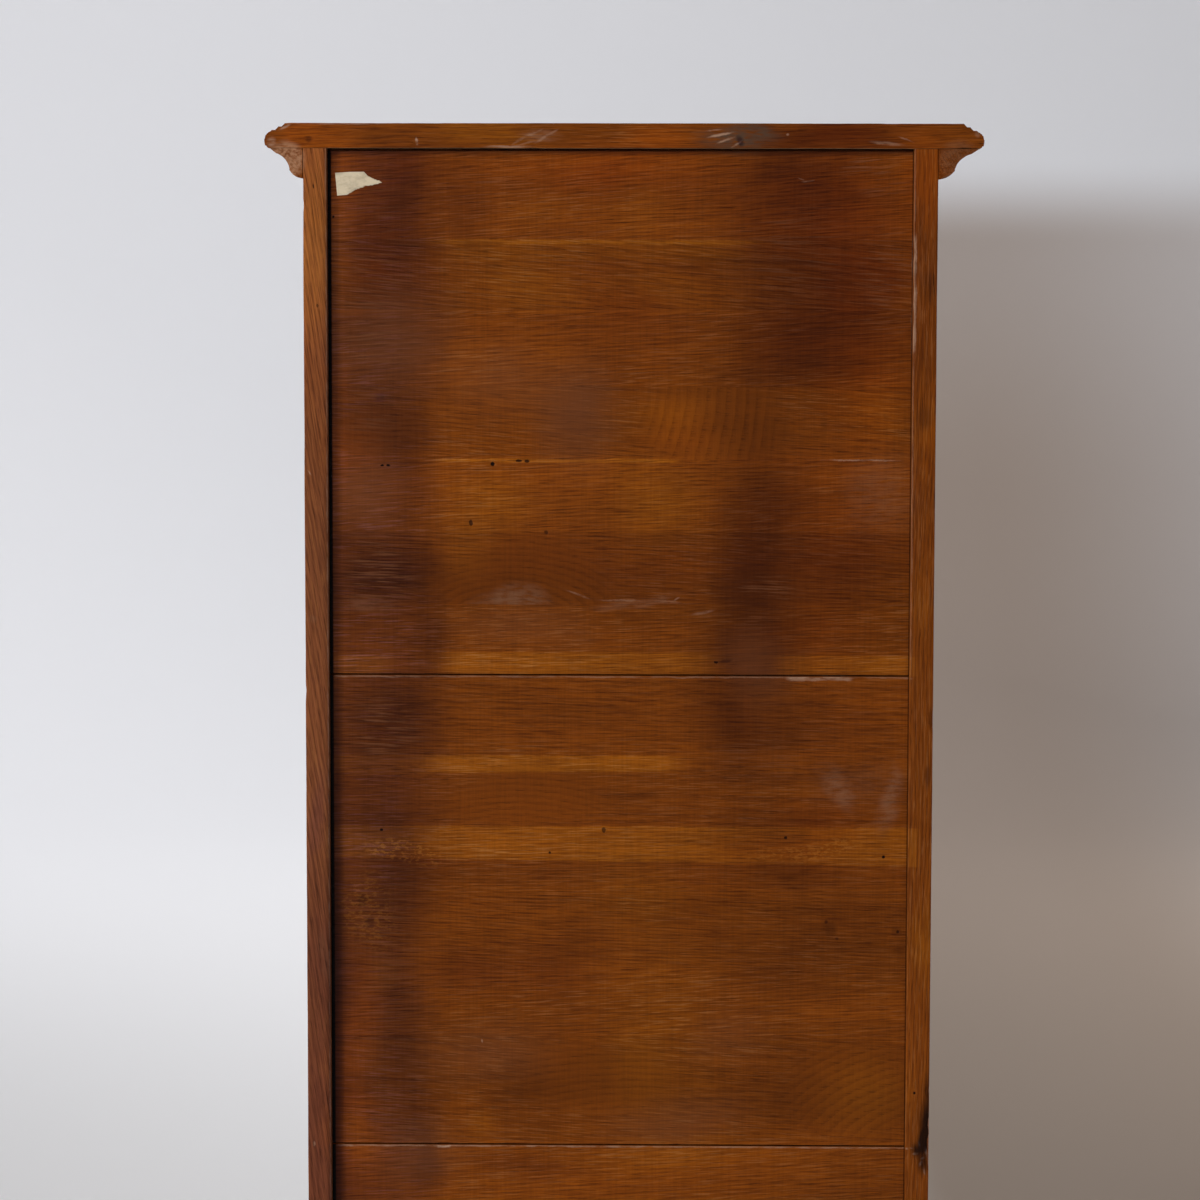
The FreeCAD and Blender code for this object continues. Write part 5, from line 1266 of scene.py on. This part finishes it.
def islands(node):
    """The boxes of a node's separate solids, found from the mesh."""
    mesh = nodes[node].data
    parent = list(range(len(mesh.vertices)))

    def root(i):
        while parent[i] != i:
            parent[i] = parent[parent[i]]
            i = parent[i]
        return i

    at = {}
    for v in mesh.vertices:
        key = tuple(round(c, 5) for c in v.co)
        parent[root(v.index)] = root(at.setdefault(key, v.index))
    for edge in mesh.edges:
        parent[root(edge.vertices[0])] = root(edge.vertices[1])
    groups = {}
    for v in mesh.vertices:
        groups.setdefault(root(v.index), []).append(v.co)
    boxes = []
    for group in groups.values():
        boxes.append((Vector([min(c[i] for c in group) for i in range(3)]),
                      Vector([max(c[i] for c in group) for i in range(3)])))
    return sorted(boxes, key=lambda box: (round(box[0].x, 3), round(box[0].z, 3)))


HINGE_GAP = 0.002               # between a door's edge and the case
LEAF_SCREWS = ((-0.022, 0.0065), (0, 0.0105), (0.022, 0.0065))      # up from the middle, in from the edge


def hinge_screws(brass):
    """Three screws to each hinge leaf, the middle one nearer to the pin."""
    for side, sign in SIDES.items():
        # A door's leaf is flush with the edge of its stile, and the case's leaf is across the gap.
        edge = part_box(f"door_{side}_hinge_stile")[1 if sign > 0 else 0].x
        groups = {
            "case": ([b for b in islands("hinge_case_leaves") if b[0].x * sign > 0],
                     edge + sign * HINGE_GAP, -sign),
            f"door_{side}": (islands(f"door_{side}_hinge_leaves"), edge, sign),
        }
        for body, (leaves, face, looks) in groups.items():
            places = [((face, high.y - deep, (low.z + high.z) / 2 + up), (looks, 0, 0))
                      for low, high in leaves for up, deep in LEAF_SCREWS]
            screws(f"hinge_screws_{side}_{body}", places, 0.0026, body, brass)


def spots(box, y, aside, inset, looks):
    """Places near the upper and lower ends of a plate, so far to each side of its middle."""
    low, high = box
    middle = (low.x + high.x) / 2
    return [((middle + off, y, z), (0, looks, 0)) for off in aside
            for z in (low.z + inset, high.z - inset)]


def lock_screws(iron, brass):
    """Screws of the lock, its keeper and the bolts' plates, and the pins of the escutcheon."""
    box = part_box("lock_case")
    aside = (box[1].x - box[0].x) / 2 - LOCK_INSET
    places = spots(box, box[1].y, (-aside, aside), LOCK_INSET, 1)
    screws("lock_case_screws", places, 0.0030, "door_right", iron)
    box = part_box("lock_keeper")
    screws("lock_keeper_screws", spots(box, box[1].y, (0,), 0.0035, 1), 0.0022, "door_left", iron)
    plates = sorted(islands("door_left_bolt_plates"), key=lambda plate: plate[0].z)
    for part, plate in zip(("bottom", "top"), plates):
        places = spots(plate, plate[0].y + PLATE_THICK, (-0.0068, 0.0068), 0.0042, 1)
        screws(f"bolt_plate_screws_{part}", places, 0.0020, "door_left", iron)
    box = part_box("escutcheon")
    studs("escutcheon_pins", spots(box, box[0].y, (0,), 0.0045, -1), 0.0014, 0.0007,
          "door_right", brass)


PEG, PEG_PROUD = 0.0034, 0.00025
PEG_FACETS, PEG_EASE = 9, 0.12
PEG_IN = 0.012                  # from a joint's shoulder to its pegs
PEG_HEIGHTS = (0.28, 0.72)      # of a rail's width


def peg_heights(rails):
    """The heights of two pegs in each of a frame's rails."""
    return [low.z + (high.z - low.z) * share for low, high in islands(rails) for share in PEG_HEIGHTS]


def pegs(name, places, body, material):
    """The pegs of a frame, faceted and a little proud."""
    studs(name, places, PEG, PEG_PROUD, body, material, PEG_FACETS, PEG_EASE)


def door_pegs(material):
    """Two pegs through each joint of the door frames."""
    for side, sign in SIDES.items():
        places = []
        for part in ("hinge", "meeting"):
            low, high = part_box(f"door_{side}_{part}_stile")
            inward = sign if part == "meeting" else -sign
            x = (high.x if inward > 0 else low.x) - inward * PEG_IN
            places += [((x, low.y, z), (0, -1, 0)) for z in peg_heights(f"door_{side}_rails")]
        pegs(f"door_{side}_pegs", places, f"door_{side}", material)


def side_pegs(material):
    """Two pegs through each joint of the side frames, apart from those behind a moulding."""
    bottom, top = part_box("plinth_left")[1].z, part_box("cornice_left")[0].z
    for side, sign in SIDES.items():
        places = []
        for part in ("front", "rear"):
            low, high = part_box(f"side_{side}_{part}_stile")
            y = high.y - PEG_IN if part == "front" else low.y + PEG_IN
            x = high.x if sign > 0 else low.x
            places += [((x, y, z), (sign, 0, 0)) for z in peg_heights(f"side_{side}_rails")
                       if bottom < z < top]
        pegs(f"side_{side}_pegs", places, "case", material)


# ------------------------------------------------------------------ which wood each node is

# Where the pith is: how far aside it may lie, and how far behind the face.
PANEL, STRAIGHT, FRONT = (0.012, 0.055), (0.05, 0.24), (0.02, 0.075)
WELD_WITHIN = 1e-5
ARRIS_WIDE, ARRIS_ANGLE = 0.0006, math.radians(30)


def finish_all(worn, brass, iron):
    """Gives every CAD node that still shows its material, eased arrises and values of its own."""
    # The first line with a pattern that fits a node's name says what the node is made of.
    looks = (
        (brass, "*leaves*", "*pins*", "*escutcheon*"),
        (iron, "*lock*", "*key*", "*bolt*"),
        (turned_oak(), "*knob*"),
        (plain_oak("Z", 4, pith=PANEL, bold=0.50), "*panels"),
        (plain_oak("Z", 5, pith=STRAIGHT), "*stile"),
        (plain_oak("X", 3, pith=FRONT, bold=0.50), "drawer*_front"),
        (drawer_oak(), "*shelf_battens*", "*runners*", "*_box*"),
        (plain_oak("X", 9, RAW), "*shelf*", "*floor*", "*drawer_*", "*door_stop*"),
        (plain_oak("Y", 6, pith=STRAIGHT), "side*", "plinth_left*", "plinth_right*"),
        (plain_oak("X", 12, pith=STRAIGHT, worn=0.12), "cornice_front", "plinth_front"),
        (plain_oak("X", 7, pith=STRAIGHT), "*"),
    )
    for i, (name, node) in enumerate(sorted(nodes.items())):
        if name in worn:
            continue
        low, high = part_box(name)
        node.color = (*((low + high) / 2), 1)
        node.pass_index = i + 1
        node.data.materials.clear()
        fits = (look for look, *patterns in looks if any(fnmatchcase(name, p) for p in patterns))
        node.data.materials.append(next(fits))
        node.modifiers.new("weld", "WELD").merge_threshold = WELD_WITHIN
        bevel = node.modifiers.new("arris", "BEVEL")
        bevel.width, bevel.segments = ARRIS_WIDE, 2
        bevel.limit_method, bevel.angle_limit = "ANGLE", ARRIS_ANGLE
        bevel.harden_normals = False


add_camera()
bowl = add_bowl()
add_lights()
bowl.data.materials.append(stage_paint())
for board in ("back_board_bottom", "back_board_middle", "back_board_top"):
    worn_back_board(board)
worn_rear_stile("side_right_rear_stile", seed=3.1, bold=0.42, chips=RIGHT_STILE_CHIPS, finish=FADED,
                lean=-0.16)
worn_rear_stile("side_left_rear_stile", seed=8.4, bold=0.35, chips=LEFT_STILE_CHIPS, finish=BACK,
                lean=0.02)
worn_top_board()
worn_cornice("left")
worn_cornice("right")
paper_stub()
brass = metal("brass", bright=(0.62, 0.42, 0.17, 1), dull=(0.28, 0.17, 0.07, 1), rough=0.32, seed=2.0)
iron = metal("iron", bright=(0.16, 0.15, 0.14, 1), dull=(0.07, 0.05, 0.04, 1), rough=0.48, seed=5.0)
finish_all([name for name, node in nodes.items() if node.hide_render], brass, iron)
hinge_screws(brass)
lock_screws(iron, brass)
peg_oak = plain_oak("Y", 14)
door_pegs(peg_oak)
side_pegs(peg_oak)
